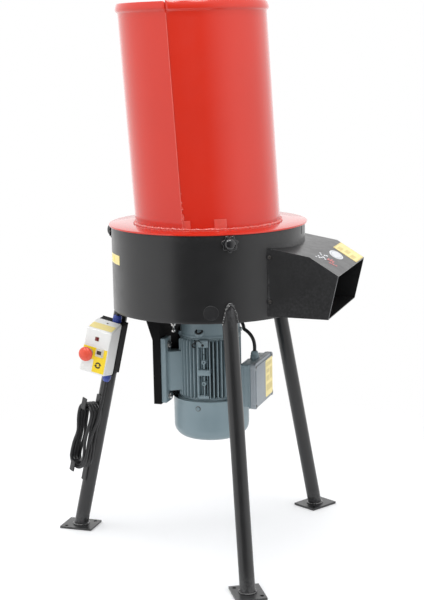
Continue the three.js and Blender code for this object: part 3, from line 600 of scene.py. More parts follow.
# ------------------------------------------------------------------ floor
fm = material("studio_floor", (0.93, 0.93, 0.93), 0.8, var=0.01, var_scale=2, bump=0.02, bump_scale=200, spec=0.1)
fn, fl_ = fm.node_tree.nodes, fm.node_tree.links
fbs = next(x for x in fn if x.type == "BSDF_PRINCIPLED")
fout = next(x for x in fn if x.type == "OUTPUT_MATERIAL")
ftc, flen, frm, ftr, fmx = fn.new("ShaderNodeTexCoord"), fn.new("ShaderNodeVectorMath"), fn.new("ShaderNodeMapRange"), fn.new("ShaderNodeBsdfTransparent"), fn.new("ShaderNodeMixShader")
flen.operation = "LENGTH"
frm.interpolation_type = "SMOOTHSTEP"
for k_, v_ in (("From Min", 0.5), ("From Max", 1.35), ("To Min", 0.0), ("To Max", 1.0)):
    frm.inputs[k_].default_value = v_
fl_.new(ftc.outputs["Object"], flen.inputs[0])
fl_.new(flen.outputs["Value"], frm.inputs["Value"])
fl_.new(frm.outputs[0], fmx.inputs[0])
fl_.new(fbs.outputs[0], fmx.inputs[1])
fl_.new(ftr.outputs[0], fmx.inputs[2])
fl_.new(fmx.outputs[0], fout.inputs["Surface"])
fl_me = bpy.data.meshes.new("floor")
fl_me.from_pydata([(1.45 * math.cos(2 * math.pi * i / 64), 1.45 * math.sin(2 * math.pi * i / 64), -0.0006) for i in range(64)], [], [list(range(64))])
fl_me.materials.append(fm)
floor = bpy.data.objects.new("floor", fl_me)
scene.collection.objects.link(floor)

# ------------------------------------------------------------------ hopper, lid
H, HR = 507.5, 172.0
LEAN = (-22.4, -21.4)
SEAM = -90.6 * RAD


def hopper_map(t, r, z):
    x, y = r * math.cos(t), r * math.sin(t)
    k = z / H
    return (x + LEAN[0] * k, y + LEAN[1] * k, 794.15 + z + 0.1 * k * (-LEAN[0] / H * x - LEAN[1] / H * y))


def hopper_tube():
    prof = [(HR - 2, 0), (HR, 0)] + [(HR, z) for z in (20, 60, 120, 200, 280, 360, 430, 470, H - 22.6)]
    bead = [(HR + 0.8, H - 21.2), (HR + 3.0, H - 19.4), (HR + 4.9, H - 17.2), (HR + 5.5, H - 15), (HR + 5.3, H - 12.2), (HR + 4.4, H - 8), (HR + 2.8, H - 3.6), (HR + 1.6, H - 0.9), (HR + 0.7, H), (HR - 0.6, H - 0.5)]
    prof += bead + [(HR - 2, z) for z in (H - 8, 430, 300, 150)]
    ths = sorted([2 * math.pi * i / 200 for i in range(200)] + [SEAM % (2 * math.pi) + e * RAD for e in (-0.9, -0.5, -0.22, -0.04, 0.04, 0.22, 0.5, 0.9)])
    n, v, f = len(prof), [], []
    for t in ths:
        d = (t - SEAM + math.pi) % (2 * math.pi) - math.pi
        lap = 1.9 * max(0, 1 - abs(d) / (13 * RAD)) ** 2 if d < 0 else -0.25 * math.exp(-(d / (7 * RAD)) ** 2)
        gap = math.exp(-(d / (0.5 * RAD)) ** 2)
        dent = 0.35 * noise.noise(Vector((math.cos(t) * 1.7, math.sin(t) * 1.7, 3)))
        for i, (r, z) in enumerate(prof):
            k = r
            if 1 <= i <= 10:
                k += lap + dent * math.sin(math.pi * min(1, z / H))
            elif 11 <= i <= 20:
                k = (r - HR) * (1 - 0.8 * gap) + HR + (lap * 0.8 if d < 0 else 0)
                if i >= 17 and d > 0:
                    z += 1.6 * math.exp(-(d / (4 * RAD)) ** 2)
                elif i >= 17 and gap > 0.2:
                    z -= 3.2 * gap
            v.append(hopper_map(t, k, z))
    m = len(ths)
    for i in range(m):
        j = (i + 1) % m
        for k in range(n):
            q = (k + 1) % n
            f.append([i * n + k, j * n + k, j * n + q, i * n + q])
    return v, f


make("hopper_tube_rolled", hopper_tube(), RED, "lid", replaces="hopper_tube", angle=40)
ring = [hopper_map(2 * math.pi * i / 240, HR + 1.2, 1.2) for i in range(240)]
make("hopper_base_weld", weld(ring, 3.7, True, 2.0, ripple=6.5, step=1.3, rough=0.42), WELD_RED, "lid", angle=75)
seam_pts = [hopper_map(SEAM + 0.45 * RAD, HR + 0.5, z) for z in range(2, 40, 3)]
# lap bead along the seam, a real bead drawn in the lighter red that paints its highlight line
make("hopper_seam_fillet", sweep([hopper_map(SEAM - 0.12 * RAD, HR + 1.1 + 0.25 * noise.noise(Vector((z * 0.03, 2, 5))), z) for z in range(38, int(H - 22), 6)], 1.15, 10), RED_EDGE_HIGHLIGHT, "lid", angle=75)
for k, (z0_, n_) in enumerate([(46, 3), (60, 2), (82, 1)]):
    blob = [hopper_map(SEAM + 0.4 * RAD, HR + 0.3, z0_ + q * 1.6) for q in range(n_ + 2)]
    make(f"hopper_seam_tack_{k}", weld(blob, 2.6 - 0.4 * k, False, 3.0 + k, ripple=4, step=0.9), WELD_RED, "lid", angle=75)
make("hopper_seam_weld", weld(seam_pts, 3.3, False, 5.0, ripple=5, step=1.2, rough=0.45), WELD_RED, "lid", angle=75)
# two pressed tabs welded flat on the tube's foot, in the lighter red copy that paints the light their faces catch
for k, (t0, t1, h) in enumerate([(-89.2, -84.4, 22), (-66.6, -57.2, 25)]):
    v, f = [], []
    cols, rows = 10, [1.5, 6, 14, h - 3, h]
    for off in (0.4, 3.0):
        for i in range(cols + 1):
            t = lerp(t0, t1, i / cols) * RAD
            for z in rows:
                v.append(hopper_map(t, HR + off, z))
    nr, half = len(rows), (cols + 1) * len(rows)
    for i in range(cols):
        for j in range(nr - 1):
            a = i * nr + j
            f.append([half + a, half + a + nr, half + a + nr + 1, half + a + 1])
            f.append([a, a + 1, a + nr + 1, a + nr])
    for i in range(cols):
        for j in (0, nr - 1):
            a = i * nr + j
            f.append([a, a + nr, half + a + nr, half + a])
    for i in (0, cols):
        for j in range(nr - 1):
            a = i * nr + j
            f.append([a, a + 1, half + a + 1, half + a])
    make(f"hopper_tab_{k}", bevel((v, f), 0.7, 2, 50), RED_EDGE_HIGHLIGHT, "lid")
lid_prof = [(167, 790.4), (167.4, 790), (234.1, 790), (234.8, 790.3), (235, 791), (235, 793), (234.8, 793.7), (234.1, 794), (167.4, 794), (167, 793.6)]
make("lid_plate_turned", revolve(lid_prof, 224), RED, "lid", replaces="lid_plate")
make("lid_skirt_rolled", revolve([(222, 764.9), (225, 764.9), (225, 789.6), (222, 789.6)], 160), RED, "lid", replaces="lid_skirt")
sk = [(219.8 * math.cos(2 * math.pi * i / 160), 219.8 * math.sin(2 * math.pi * i / 160), 788.3) for i in range(160)]
make("lid_skirt_weld", weld(sk, 2.4, True, 9.0, ripple=7, step=3.0, sides=6), WELD_RED, "lid", angle=75)

# ------------------------------------------------------------------ chamber
def drum():
    edge = math.asin(130 / 229.0)
    ths = sorted([2 * math.pi * i / 216 - math.pi for i in range(216) if abs(abs(2 * math.pi * i / 216 - math.pi) - edge) > 0.006] + [-edge, edge])
    zs = [590, 591.2, 602, 742, 760, 788.6, 789.7]
    n, nz_ = len(ths), len(zs)

    def cell(i, j):
        if not 0 <= j < nz_ - 1:
            return False
        a, b = ths[i % n], ths[(i + 1) % n]
        if b < a:
            b += 2 * math.pi
        mid = (a + b) / 2
        return not (abs(mid) < edge and zs[j] >= 602 and zs[j + 1] <= 742)

    v, f = [], []
    for r in (230.0, 228.0):
        for t in ths:
            for j, z in enumerate(zs):
                k = r - (0.6 if r > 229 and j in (0, nz_ - 1) else 0)
                v.append((k * math.cos(t), k * math.sin(t), z))
    off = n * nz_
    for i in range(n):
        a, b = i * nz_, ((i + 1) % n) * nz_
        for j in range(nz_ - 1):
            if not cell(i, j):
                continue
            f.append([a + j, b + j, b + j + 1, a + j + 1])
            f.append([off + a + j, off + a + j + 1, off + b + j + 1, off + b + j])
            if not cell(i, j - 1):
                f.append([a + j, off + a + j, off + b + j, b + j])
            if not cell(i, j + 1):
                f.append([a + j + 1, b + j + 1, off + b + j + 1, off + a + j + 1])
            if not cell((i + 1) % n, j):
                f.append([b + j, off + b + j, off + b + j + 1, b + j + 1])
            if not cell((i - 1) % n, j):
                f.append([a + j, a + j + 1, off + a + j + 1, off + a + j])
    return v, f


parts = [drum()]
for s in (-1, 1):
    parts.append(bevel(block(183.5, 199, min(s * 133.8, s * 135.8), max(s * 133.8, s * 135.8), 604, 742), 0.5))
for az in (-174, -60, 60):
    boss = revolve([(4.3, 228.6), (10.4, 228.6), (10.4, 231.4), (9.6, 232.5), (4.3, 232.5)], 40)
    parts.append(spin(moved(boss, Matrix.Translation((0, 0, 771)) @ Matrix.Rotation(90 * RAD, 4, "Y")), az))
make("drum_shell_rolled", merge(*parts), BLACK, "frame", replaces="drum_shell")
# faint pressed ring, the wall's butt seam at the chute side, and the foil on the rear quarter
t = -70.9 * RAD
dv, df = [], []
for rr_, off_ in ((17.6, -0.3), (17.4, 0.5), (16.6, 1.0), (15.9, 1.05), (15.2, 0.8), (8, 0.8), (0.01, 0.8)):
    for i in range(48):
        a = 2 * math.pi * i / 48
        yy_, zz_ = rr_ * math.cos(a), 614.8 + rr_ * math.sin(a)
        dv.append(tuple(Matrix.Rotation(t, 4, "Z") @ Vector((math.sqrt((230 + off_) ** 2 - yy_ ** 2), yy_, zz_))))
for j in range(6):
    df += [[j * 48 + i, j * 48 + (i + 1) % 48, (j + 1) * 48 + (i + 1) % 48, (j + 1) * 48 + i] for i in range(48)]
df.append([i for i in range(48)][::-1])
df.append([6 * 48 + i for i in range(48)])
make("drum_blanking_disc", (dv, df), BLACK_IN_AND_VENT_SHADE, "frame", angle=35)
make("drum_slot", bevel(block(229.2, 230.5, -4.8, -2.4, 769, 788), 0.3), BLACK_IN_AND_VENT_SHADE, "frame")


def wall_patch(t0, t1, z0, z1, off, thick=0.35, n=16):
    v, f = [], []
    for r in (230 + off, 230 + off + thick):
        for i in range(n + 1):
            a = lerp(t0, t1, i / n) * RAD
            v += [(r * math.cos(a), r * math.sin(a), z0), (r * math.cos(a), r * math.sin(a), z1)]
    h = 2 * (n + 1)
    for i in range(n):
        a = 2 * i
        f += [[h + a, h + a + 2, h + a + 3, h + a + 1], [a, a + 1, a + 3, a + 2], [a, a + 2, h + a + 2, h + a], [a + 1, h + a + 1, h + a + 3, a + 3]]
    f += [[0, h, h + 1, 1], [2 * n, 2 * n + 1, h + 2 * n + 1, h + 2 * n]]
    return v, f


make("drum_foil", merge((*wall_patch(-153, -135.4, 707, 729, 0.05), 0), (*wall_patch(-152, -143.5, 711, 725, 0.42, 0.12), 1)), [PALE_YELLOW, YELLOW], "frame")
cad_look(["drum_floor"], BLACK_IN_AND_VENT_SHADE, smooth=True)
cad_look(["outlet_chute"], BLACK, bevel_mm=0.9, seg=3)
for side, s in (("left", -1), ("right", 1)):
    for lv, z in (("upper", 733), ("lower", 631)):
        sc = revolve([(0, 7.8), (2.3, 7.8), (2.3, 0.3), (4.4, 0.3), (4.3, -0.6), (3.6, -1.7), (2.2, -2.3), (1.5, -2.35), (1.3, -1.2), (0, -1.2)], 32, False)
        Mx = Matrix.Translation((190.5, s * 138.9, z)) @ Matrix.Rotation((-90 if s < 0 else 90) * RAD, 4, "X")
        make(f"chute_screw_{side}_{lv}_head", moved(sc, Mx), DARK_METAL, "frame", replaces=f"chute_screw_{side}_{lv}")

make("chute_mouth_edge", sweep([(348.0, -138.1, 694.2), (342.3, -138.2, 669.5), (336.5, -138.2, 644.5), (330.8, -138.2, 620.0), (325.2, -138.1, 595.8)], lambda i: 0.72 + 0.12 * math.sin(i * 2.1), 8), WORN_EDGE, "frame", angle=60)
# prints on the chute's sloping panel; t runs down the slope from the bend, y across
CD, CN = (66 / 77.7, -41 / 77.7), (41 / 77.7, 66 / 77.7)


def on_chute(poly, h0=0.12, h1=0.38):
    v = []
    for h in (h0, h1):
        for t, y in poly:
            if t >= 0:
                v.append((282 + t * CD[0] + h * CN[0], y, 736 + t * CD[1] + h * CN[1]))
            else:
                v.append((282 + t * 0.983 + h * 0.182, y, 736 - t * 0.182 + h * 0.983))
    n = len(poly)
    return v, [list(range(n))[::-1], list(range(n, 2 * n))] + [[i, (i + 1) % n, n + (i + 1) % n, n + i] for i in range(n)]


def rrect(t0, t1, y0, y1, r=2.0, k=4):
    out = []
    for cx, cy, a0 in ((t1 - r, y1 - r, 0), (t0 + r, y1 - r, 90), (t0 + r, y0 + r, 180), (t1 - r, y0 + r, 270)):
        out += [(cx + r * math.cos((a0 + 90 * i / k) * RAD), cy + r * math.sin((a0 + 90 * i / k) * RAD)) for i in range(k + 1)]
    return out


def ell(t, y, a, b, n=48):
    return [(t + a * math.cos(2 * math.pi * i / n), y + b * math.sin(2 * math.pi * i / n)) for i in range(n)]


prints = [(*on_chute(rrect(10.5, 76.2, 56, 136.5)), 0), (*on_chute(rrect(13.5, 73, 59.5, 133.5, 1.5), 0.38, 0.5), 1)]
prints += [(*on_chute(rrect(18 + 18 * i, 30 + 18 * i, 66 + 10 * (i % 2), 96 + 12 * (i % 2), 1), 0.5, 0.58), 0) for i in range(3)]
prints += [(*on_chute(ell(31.6, 10.5, 17.5, 30)), 2), (*on_chute(ell(31.6, 10.5, 13.5, 25), 0.38, 0.5), 3), (*on_chute(ell(31.6, 10.5, 11.5, 22.5), 0.5, 0.6), 2)]
for t, y, a, b in ((6, -56, 2.6, 4), (11, -64, 2.4, 4), (17, -52, 2.4, 5), (21, -44, 2.4, 5), (19, -70, 3.2, 4.5), (25, -76, 3, 4), (9, -84, 2.4, 4), (14, -92, 2.6, 5), (8, -101, 2.4, 3.5), (17, -82, 2.6, 4)):
    prints.append((*on_chute(ell(t, y, a, b, 24)), 2))
for t, y, a, b in ((30, -62, 2.4, 9), (36, -56, 2.2, 12), (42, -60, 2.2, 9), (47, -76, 3.0, 4.5), (40, -80, 3.4, 4), (54, -72, 2.2, 5)):
    prints.append((*on_chute(rrect(t - a, t + a, y - b, y + b, 1.5)), 4))
make("chute_prints", merge(*prints), [STRAW, PALE_YELLOW, WHITE_INK, GREY_INK, RED_INK], "frame")

# ------------------------------------------------------------------ knobs
def knob():
    def lob(t, r, z):
        if r < 13.5:
            return r
        k = (r - 13.5) / 6.7
        return r * (1 - 0.0) + 2.0 * k * (math.cos(7 * t) - 1) * 1.0
    body = revolve([(0, 233.0), (8.6, 233.0), (9.2, 233.5), (9.2, 235.6), (17.6, 235.6), (19.3, 236.0), (20.2, 237.0), (20.2, 239.6), (19.5, 240.7), (17.8, 241.3), (14.2, 241.4),
                    (12.9, 241.6), (12.8, 242.6), (12.2, 244.2), (10.6, 246.1), (8.0, 247.6), (4.6, 248.45), (0, 248.75)], 98, False, lob)
    stud = revolve([(0, 226), (3.2, 226), (3.9, 226.8)] + [(3.9 - (0.35 if i % 2 else 0), 227.2 + i * 0.55) for i in range(11)] + [(3.9, 234), (0, 234)], 28, False)
    return merge((*body, 0), (*stud, 1))


for nm, az in (("rear", -174), ("left", -60), ("right", 60)):
    K = Matrix.Rotation(az * RAD, 4, "Z") @ Matrix.Translation((0, 0, 771)) @ Matrix.Rotation(90 * RAD, 4, "Y")
    make(f"clamp_knob_{nm}_moulded", moved(knob(), K), [KNOB_PLASTIC, ZINC], f"knob_{nm}", replaces=f"clamp_knob_{nm}", angle=45)

# ------------------------------------------------------------------ legs
def leg_point(t, a, R=17.5):
    return Vector((360.5 - t * 0.22544 + R * math.cos(a) * 0.97427, R * math.sin(a), t * 0.97427 + R * math.cos(a) * 0.22544))


def t_at_z(z, a, R=17.5):
    return (z - R * math.cos(a) * 0.22544) / 0.97427


def t_enter(a, R=17.5, rad=230.2):
    y = R * math.sin(a)
    return (360.5 + R * math.cos(a) * 0.97427 - math.sqrt(rad * rad - y * y)) / 0.22544


for nm, az in (("rear", 180), ("left", -60), ("right", 60)):
    n, rows, v, f = 72, 14, [], []
    for R in (17.5, 15.5):
        for i in range(n):
            a = 2 * math.pi * i / n
            t0, t1 = t_at_z(5.1, a, R), max(t_at_z(589.8, a, R), t_enter(a, R, 232.9))
            for j in range(rows):
                v.append(leg_point(lerp(t0, t1, j / (rows - 1)), a, R))
    off = n * rows
    for i in range(n):
        a, b = i * rows, ((i + 1) % n) * rows
        for j in range(rows - 1):
            f.append([a + j, b + j, b + j + 1, a + j + 1])
            f.append([off + a + j, off + a + j + 1, off + b + j + 1, off + b + j])
        f.append([a, off + a, off + b, b])
        f.append([a + rows - 1, b + rows - 1, off + b + rows - 1, off + a + rows - 1])
    make(f"leg_{nm}_tube", spin((v, f), az), BLACK, "frame", replaces=f"leg_{nm}", angle=40)
    tip = [leg_point(t_enter(a, 18.0, 232.2), a, 18.0) for a in [(-78 + 156 * i / 60) * RAD for i in range(61)] if leg_point(t_enter(a, 18.0, 232.2), a, 18.0).z > 588]
    foot = [leg_point(t_at_z(6.2, 2 * math.pi * i / 60, 18.3), 2 * math.pi * i / 60, 18.3) for i in range(60)]
    make(f"leg_{nm}_tip_weld", spin(weld(tip, 3.3, False, az * 0.1 + 1, ripple=4.2, step=0.8, rough=0.5), az), WELD_BLACK, "frame", angle=75)
    make(f"leg_{nm}_foot_weld", spin(weld(foot, 2.9, True, az * 0.1 + 3, ripple=5.2, step=1.0), az), WELD_BLACK, "frame", angle=75)
# small weld lumps in bright zinc beside the left leg's top weld: the lumps are spatter, their brightness paints the
# glints on the glossy weld
painted_glints = []
for k, (a, dt) in enumerate([(-4, 1.0), (-11, -1.6), (-17, 0.6), (-27, -1.2), (-33, 1.4), (-41, -0.6), (-52, 0.8), (-60, -1.4), (-67, 0.4), (-10, 3.0)]):
    t = t_enter(a * RAD, 18.0, 232.2) + dt
    q = leg_point(t, a * RAD, 20.6)
    painted_glints.append(weld([q, q + Vector((0.3, 0.9 - 0.3 * (k % 3), -1.0 - 0.4 * (k % 2)))], 1.15 + 0.2 * (k % 3), False, k * 1.7, ripple=3, step=0.4, rough=0.5))
make("leg_left_weld_painted_glints", spin(merge(*painted_glints), -60), ZINC, "frame", angle=75)
cad_look(["foot_plate_rear", "foot_plate_left", "foot_plate_right"], BLACK, bevel_mm=0.7)
# mount plate under the drum in the darker black copy: painted shade
cad_look(["motor_mount_plate"], BLACK_SHADED_COPY, bevel_mm=0.8, seg=3)
for s in (-1, 1):
    make(f"mount_plate_weld_{'left' if s < 0 else 'right'}", weld([(-134, s * 89, 588), (-112, s * 89, 588), (-102.5, s * 88, 588), (-102.5, s * 60, 588), (-102.5, s * 30, 588)], 2.4, False, s + 4.0), WELD_BLACK, "frame", angle=75)

# ------------------------------------------------------------------ motor
def cyl_between(p0, p1, prof, seg=32, mi=0):
    """Turns prof = [(r, distance from p0)] about the line p0-p1."""
    d = (Vector(p1) - Vector(p0)).normalized()
    q = Vector((0, 0, 1)).rotation_difference(d).to_matrix().to_4x4()
    return (*moved(revolve(prof, seg, False), Matrix.Translation(p0) @ q), mi)


def hexagon(r, h0, h1, chamfer=0.8):
    return bevel(prism(circ(r, 6), h0, h1), chamfer, 2, 50)


# the core between the fins takes the near-black copy (index 1): painted shade in the fin gaps
mp = [(*revolve([(66.4, 372.3), (69.2, 372.3), (69.2, 522), (66.4, 522)], 96), 1)]
mp.append(revolve([(68, 372.4), (77.4, 372.4), (78.2, 373.4), (78.2, 377.6), (76.6, 379.6), (68, 380)], 96))
mp.append(revolve([(68, 515.5), (73.2, 516), (74.6, 517.5), (74.8, 521.4), (74.2, 522), (68, 522)], 96))


def fin(az, z0=378, z1=519, r1=85.0, w=3.1):
    poly = [(68, -w / 2 - 0.9), (76, -w / 2 - 0.3), (r1 - 1.0, -w / 2 + 0.15), (r1 - 0.2, -w / 2 + 0.6), (r1, 0), (r1 - 0.2, w / 2 - 0.6), (r1 - 1.0, w / 2 - 0.15), (76, w / 2 + 0.3), (68, w / 2 + 0.9)]
    n = len(poly)
    v = []
    for z, k in ((z0, -5.0), (z0 + 1.2, -2.0), (z0 + 4, 0), (z1 - 4, 0), (z1 - 1.2, -2.0), (z1, -5.0)):
        for x, y in poly:
            v.append((x + (k if x > 79 else 0), y, z))
    f = [list(range(n))[::-1], [5 * n + i for i in range(n)]]
    for j in range(5):
        f += [[j * n + i, j * n + (i + 1) % n, (j + 1) * n + (i + 1) % n, (j + 1) * n + i] for i in range(n)]
    return spin((v, f), az)


azs = []
a = -134.0
while a <= -46:
    azs.append(a)
    a += 6.7
for a in azs:
    if -92.8 < a < -73.5:
        continue
    mp.append(fin(a))
for a in [-x for x in azs]:
    mp.append(fin(a))
# nameplate field between two fins on the front: cross bar and two drilled bosses
mp.append(fin(-93.0, w=3.0, r1=85.0))
mp.append(fin(-73.4, w=3.0, r1=85.0))
mp.append(fin(-83.2, z0=381, z1=400, w=3.0, r1=83.0))
mp.append(fin(-83.2, z0=486, z1=512, w=3.0, r1=83.0))
for k in (-1, 1):
    mp.append(fin(-83.2 + 5.2 * k, z0=384, z1=508, w=2.0, r1=77.5))
for z0_, z1_ in ((377, 386.5), (503.5, 521)):
    pv, pf = [], []
    for i in range(15):
        a = (-92.2 + 16.5 * i / 14) * RAD
        for rr_, zz_ in ((68, z0_), (82.6, z0_), (84.4, z0_ + 1.8), (84.4, z1_ - 1.8), (82.6, z1_), (68, z1_)):
            pv.append((rr_ * math.cos(a), rr_ * math.sin(a), zz_))
    for i in range(14):
        pf += [[i * 6 + k, (i + 1) * 6 + k, (i + 1) * 6 + (k + 1) % 6, i * 6 + (k + 1) % 6] for k in range(6)]
    pf += [list(range(6))[::-1], [14 * 6 + k for k in range(6)]]
    mp.append((pv, pf))
bar = bevel(block(66, 85.3, -15.5, 15.5, 435.5, 449), 1.0)
mp.append(spin(bar, -83.2))
for z in (416, 468):
    b = revolve([(0, 66), (6.2, 66), (5.6, 80), (5.2, 85.6), (4.6, 86.3), (2.0, 86.3), (1.9, 82.5), (0, 82.5)], 32, False)
    mp.append(spin(moved(b, Matrix.Translation((0, 0, z)) @ Matrix.Rotation(90 * RAD, 4, "Y")), -83.2))
    mp.append(spin(bevel(block(66, 82, -1.6, 1.6, z - 17, z + 17), 0.7), -83.2))
# pad under the terminal box
mp.append(bevel(block(60, 91.7, -50, 50, 373.5, 438), 2.5, 3))
# feet: rail, end pads and web on each side
for s in (-1, 1):
    def Y(a, b):
        return (min(s * a, s * b), max(s * a, s * b))
    mp.append(bevel(block(-95, -82.5, *Y(50, 92), 365, 522), 1.6, 3))
    web = prism([(-83.5, s * 46), (-83.5, s * 80), (-75, s * 80.5), (-64, s * 73), (-48, s * 64), (-30, s * 68), (-40, s * 50), (-60, s * 38)], 393, 489)
    mp.append(bevel(web, 1.8, 3))
    mp.append(bevel(prism([(-83.5, s * 50), (-83.5, s * 58), (-56, s * 55), (-50, s * 46), (-62, s * 38)], 395, 487), 1.5, 2))
make("motor_frame_cast", merge(*mp), [MOTOR, MOTOR_FIN_GAP_SHADE], "frame", replaces="motor_frame", angle=38)

sh = [revolve([(13.2, 571.8), (13.2, 586), (61, 586), (66.5, 585), (70.2, 582), (71.8, 577.5), (72, 572), (72, 531.5), (72.6, 529), (73.8, 527.4), (74.2, 526.4), (74.2, 523.0), (73.6, 522.4), (66, 522.4), (66, 552), (34, 560), (34, 556), (26.3, 556), (26.3, 571.5)], 128)]
for a in (-150, 30, 150):
    lug = bevel(prism([(62, -9), (75, -7), (78, -3), (78, 3), (75, 7), (62, 9)], 522.5, 532), 1.6, 3)
    sh.append(spin(lug, a))
sh.append(cyl_between((-2.9, -62, 528), (-3.3, -73.5, 541.7), [(0, 0), (12.4, 0), (12.4, 14.6), (11.6, 15.9), (10.0, 16.3), (9.4, 15.2), (0, 15.2)], 48))
sh.append(cyl_between((-2.9, -62, 528), (-3.3, -73.5, 541.7), [(0, 15.0), (5.6, 15.0), (5.4, 17.6), (4.2, 18.5), (0, 18.8)], 36))
make("motor_end_shield_top_cast", merge(*sh), MOTOR, "frame", replaces="motor_end_shield_top", angle=38)
pl = merge(cyl_between((-2.9, -62, 528), (-3.3, -73.5, 541.7), [(0, 12), (9.3, 12), (9.3, 16.6), (8.6, 18.3), (7.2, 18.8), (6.0, 18.0), (5.8, 16.2), (0, 16.2)], 40),
           sweep([(-3.2 + 11.0 * math.cos(a * RAD), -86.0, 507 + 13.0 * math.sin(a * RAD)) for a in range(32, 150, 12)], 1.1, 8),
           sweep([(-3.5 + -9.0 + 4.6 * math.cos(a * RAD), -85.6, 508 + 4.6 * math.sin(a * RAD)) for a in range(50, 311, 20)], 1.6, 8),
           cyl_between((8.5, -84, 509), (8.6, -88, 509), [(0, 0), (3.0, 0), (3.0, 2.2), (2.2, 3.1), (0, 3.2)], 24))
make("motor_lifting_plug", pl, BLACK_PLASTIC, "frame")
cs = []
for a in (-150, 30, 150):
    cs.append((*spin(moved(hexagon(4.8, 532, 536.0), Matrix.Translation((70.0, 0, 0))), a), 0))
make("motor_shield_screws", merge(*cs), ZINC, "frame")
cad_look(["motor_end_shield_bottom"], MOTOR, smooth=True)
cad_look(["stator_core", "rotor_core"], LAMINATION, smooth=True)
cad_look(["bearing_top", "bearing_bottom", "motor_shaft"], STEEL, smooth=True)
cad_look(["shaft_seal"], RUBBER, smooth=True)
cad_look(["cooling_fan"], BLACK_PLASTIC, smooth=True)

# cowl with a closed end; its air slots are near-black patches laid on the end, painted shade in place of openings
out, inn = [], []
for i in range(13):
    a = i / 12 * 90 * RAD
    out.append((61 + 30 * math.sin(a), 302 - 30 * math.cos(a)))
    inn.append((61 + 28.4 * math.sin(a), 302 - 28.4 * math.cos(a)))
cv, cf = revolve([(12, 272), (40, 272)] + out + [(91, 330), (91, 368.5), (91.5, 369.4), (91.5, 371.4), (91, 372), (89.6, 372), (89.6, 330)] + inn[::-1] + [(40, 273.6), (12, 273.6)], 144)
grid = [revolve([(0, 272), (12.2, 272), (12.2, 273.6), (0, 273.6)], 48, False)]
make("fan_cowl_pressed", merge((cv, cf), *grid), COWL, "frame", replaces="fan_cowl", angle=38)
slots = []
for r0, r1, cnt in ((18, 26, 8), (31, 37, 12), (43, 49, 16)):
    for k in range(cnt):
        a0, a1 = (k + 0.14) * 360 / cnt, (k + 0.86) * 360 / cnt
        arc = [(r1 * math.cos(lerp(a0, a1, i / 5) * RAD), r1 * math.sin(lerp(a0, a1, i / 5) * RAD)) for i in range(6)]
        arc += [(r0 * math.cos(lerp(a1, a0, i / 5) * RAD), r0 * math.sin(lerp(a1, a0, i / 5) * RAD)) for i in range(6)]
        slots.append(prism(arc, 271.4, 271.9))
make("fan_cowl_slot_painted_shade", merge(*slots), BLACK_IN_AND_VENT_SHADE, "frame")
sc = [cyl_between((-3.6, -90.4, 355.7), (-3.72, -94, 355.7), [(0, 0), (6.3, 0), (6.3, 0.7), (5.9, 0.95), (0, 0.95)], 36, 1),
      cyl_between((-3.6, -90.6, 355.7), (-3.72, -94, 355.7), [(0, 0), (4.9, 0), (4.9, 1.4), (4.4, 2.5), (3.0, 3.1), (1.3, 3.2), (1.2, 2.2), (0, 2.2)], 32, 0)]
make("cowl_screw", merge(*sc), [COWL, DARK_METAL], "frame")

for side, s in (("left", -1), ("right", 1)):
    for lv, z in (("lower", 379), ("upper", 504)):
        b = merge(revolve([(0, -113), (3.4, -113), (4, -112.2), (4, -79), (0, -79)], 24, False),
                  hexagon(7.4, -81.2, -75.6), revolve([(4.2, -82.3), (9.6, -82.3), (9.6, -80.9), (4.2, -80.9)], 36),
                  hexagon(7.4, -108.4, -102.2), revolve([(4.2, -102.4), (8.6, -102.4), (8.6, -101.4), (4.2, -101.4)], 36))
        Mx = Matrix.Translation((0, s * 70, z)) @ Matrix.Rotation(90 * RAD, 4, "Y")
        make(f"motor_foot_bolt_{side}_{lv}_hex", moved(b, Mx), ZINC, "frame", replaces=f"motor_foot_bolt_{side}_{lv}")
fs = merge(revolve([(0, 539), (2.6, 539), (3, 540)] + [(3 - (0.3 if i % 2 else 0), 540.5 + i * 0.6) for i in range(40)] + [(3, 565), (3, 589.6), (0, 589.6)], 24, False),
           hexagon(6.6, 553, 558.5), hexagon(5.8, 538.4, 543.6), revolve([(3.2, 558.7), (9, 558.7), (9, 560), (3.2, 560)], 32))
make("floor_stud_threaded", moved(fs, Matrix.Translation((-64, -82, 0))), ZINC, "frame", replaces="floor_stud")

# terminal box, lid, gland, foil
def rbox(x0, x1, y0, y1, z0, z1, r, seg=4):
    return bevel(block(x0, x1, y0, y1, z0, z1), r, seg)


tb = merge(bevel(prism([(-66, 361), (72, 361), (72, 425), (6, 462.2), (-66, 462.2)], 91.8, 100, "yz"), 2.6, 3), rbox(98.8, 121, -67, 73, 360, 463, 4.0), rbox(99.2, 104, -68.4, 74.4, 362.5, 460.5, 1.6), rbox(115, 121, -69.5, 75.5, 358, 465, 1.8))
make("terminal_box_cast", tb, MOTOR, "frame", replaces="terminal_box")


def octo(a, b, c, d, k):
    return [(a, c + k), (a + k, c), (b - k, c), (b, c + k), (b, d - k), (b - k, d), (a + k, d), (a, d - k)]


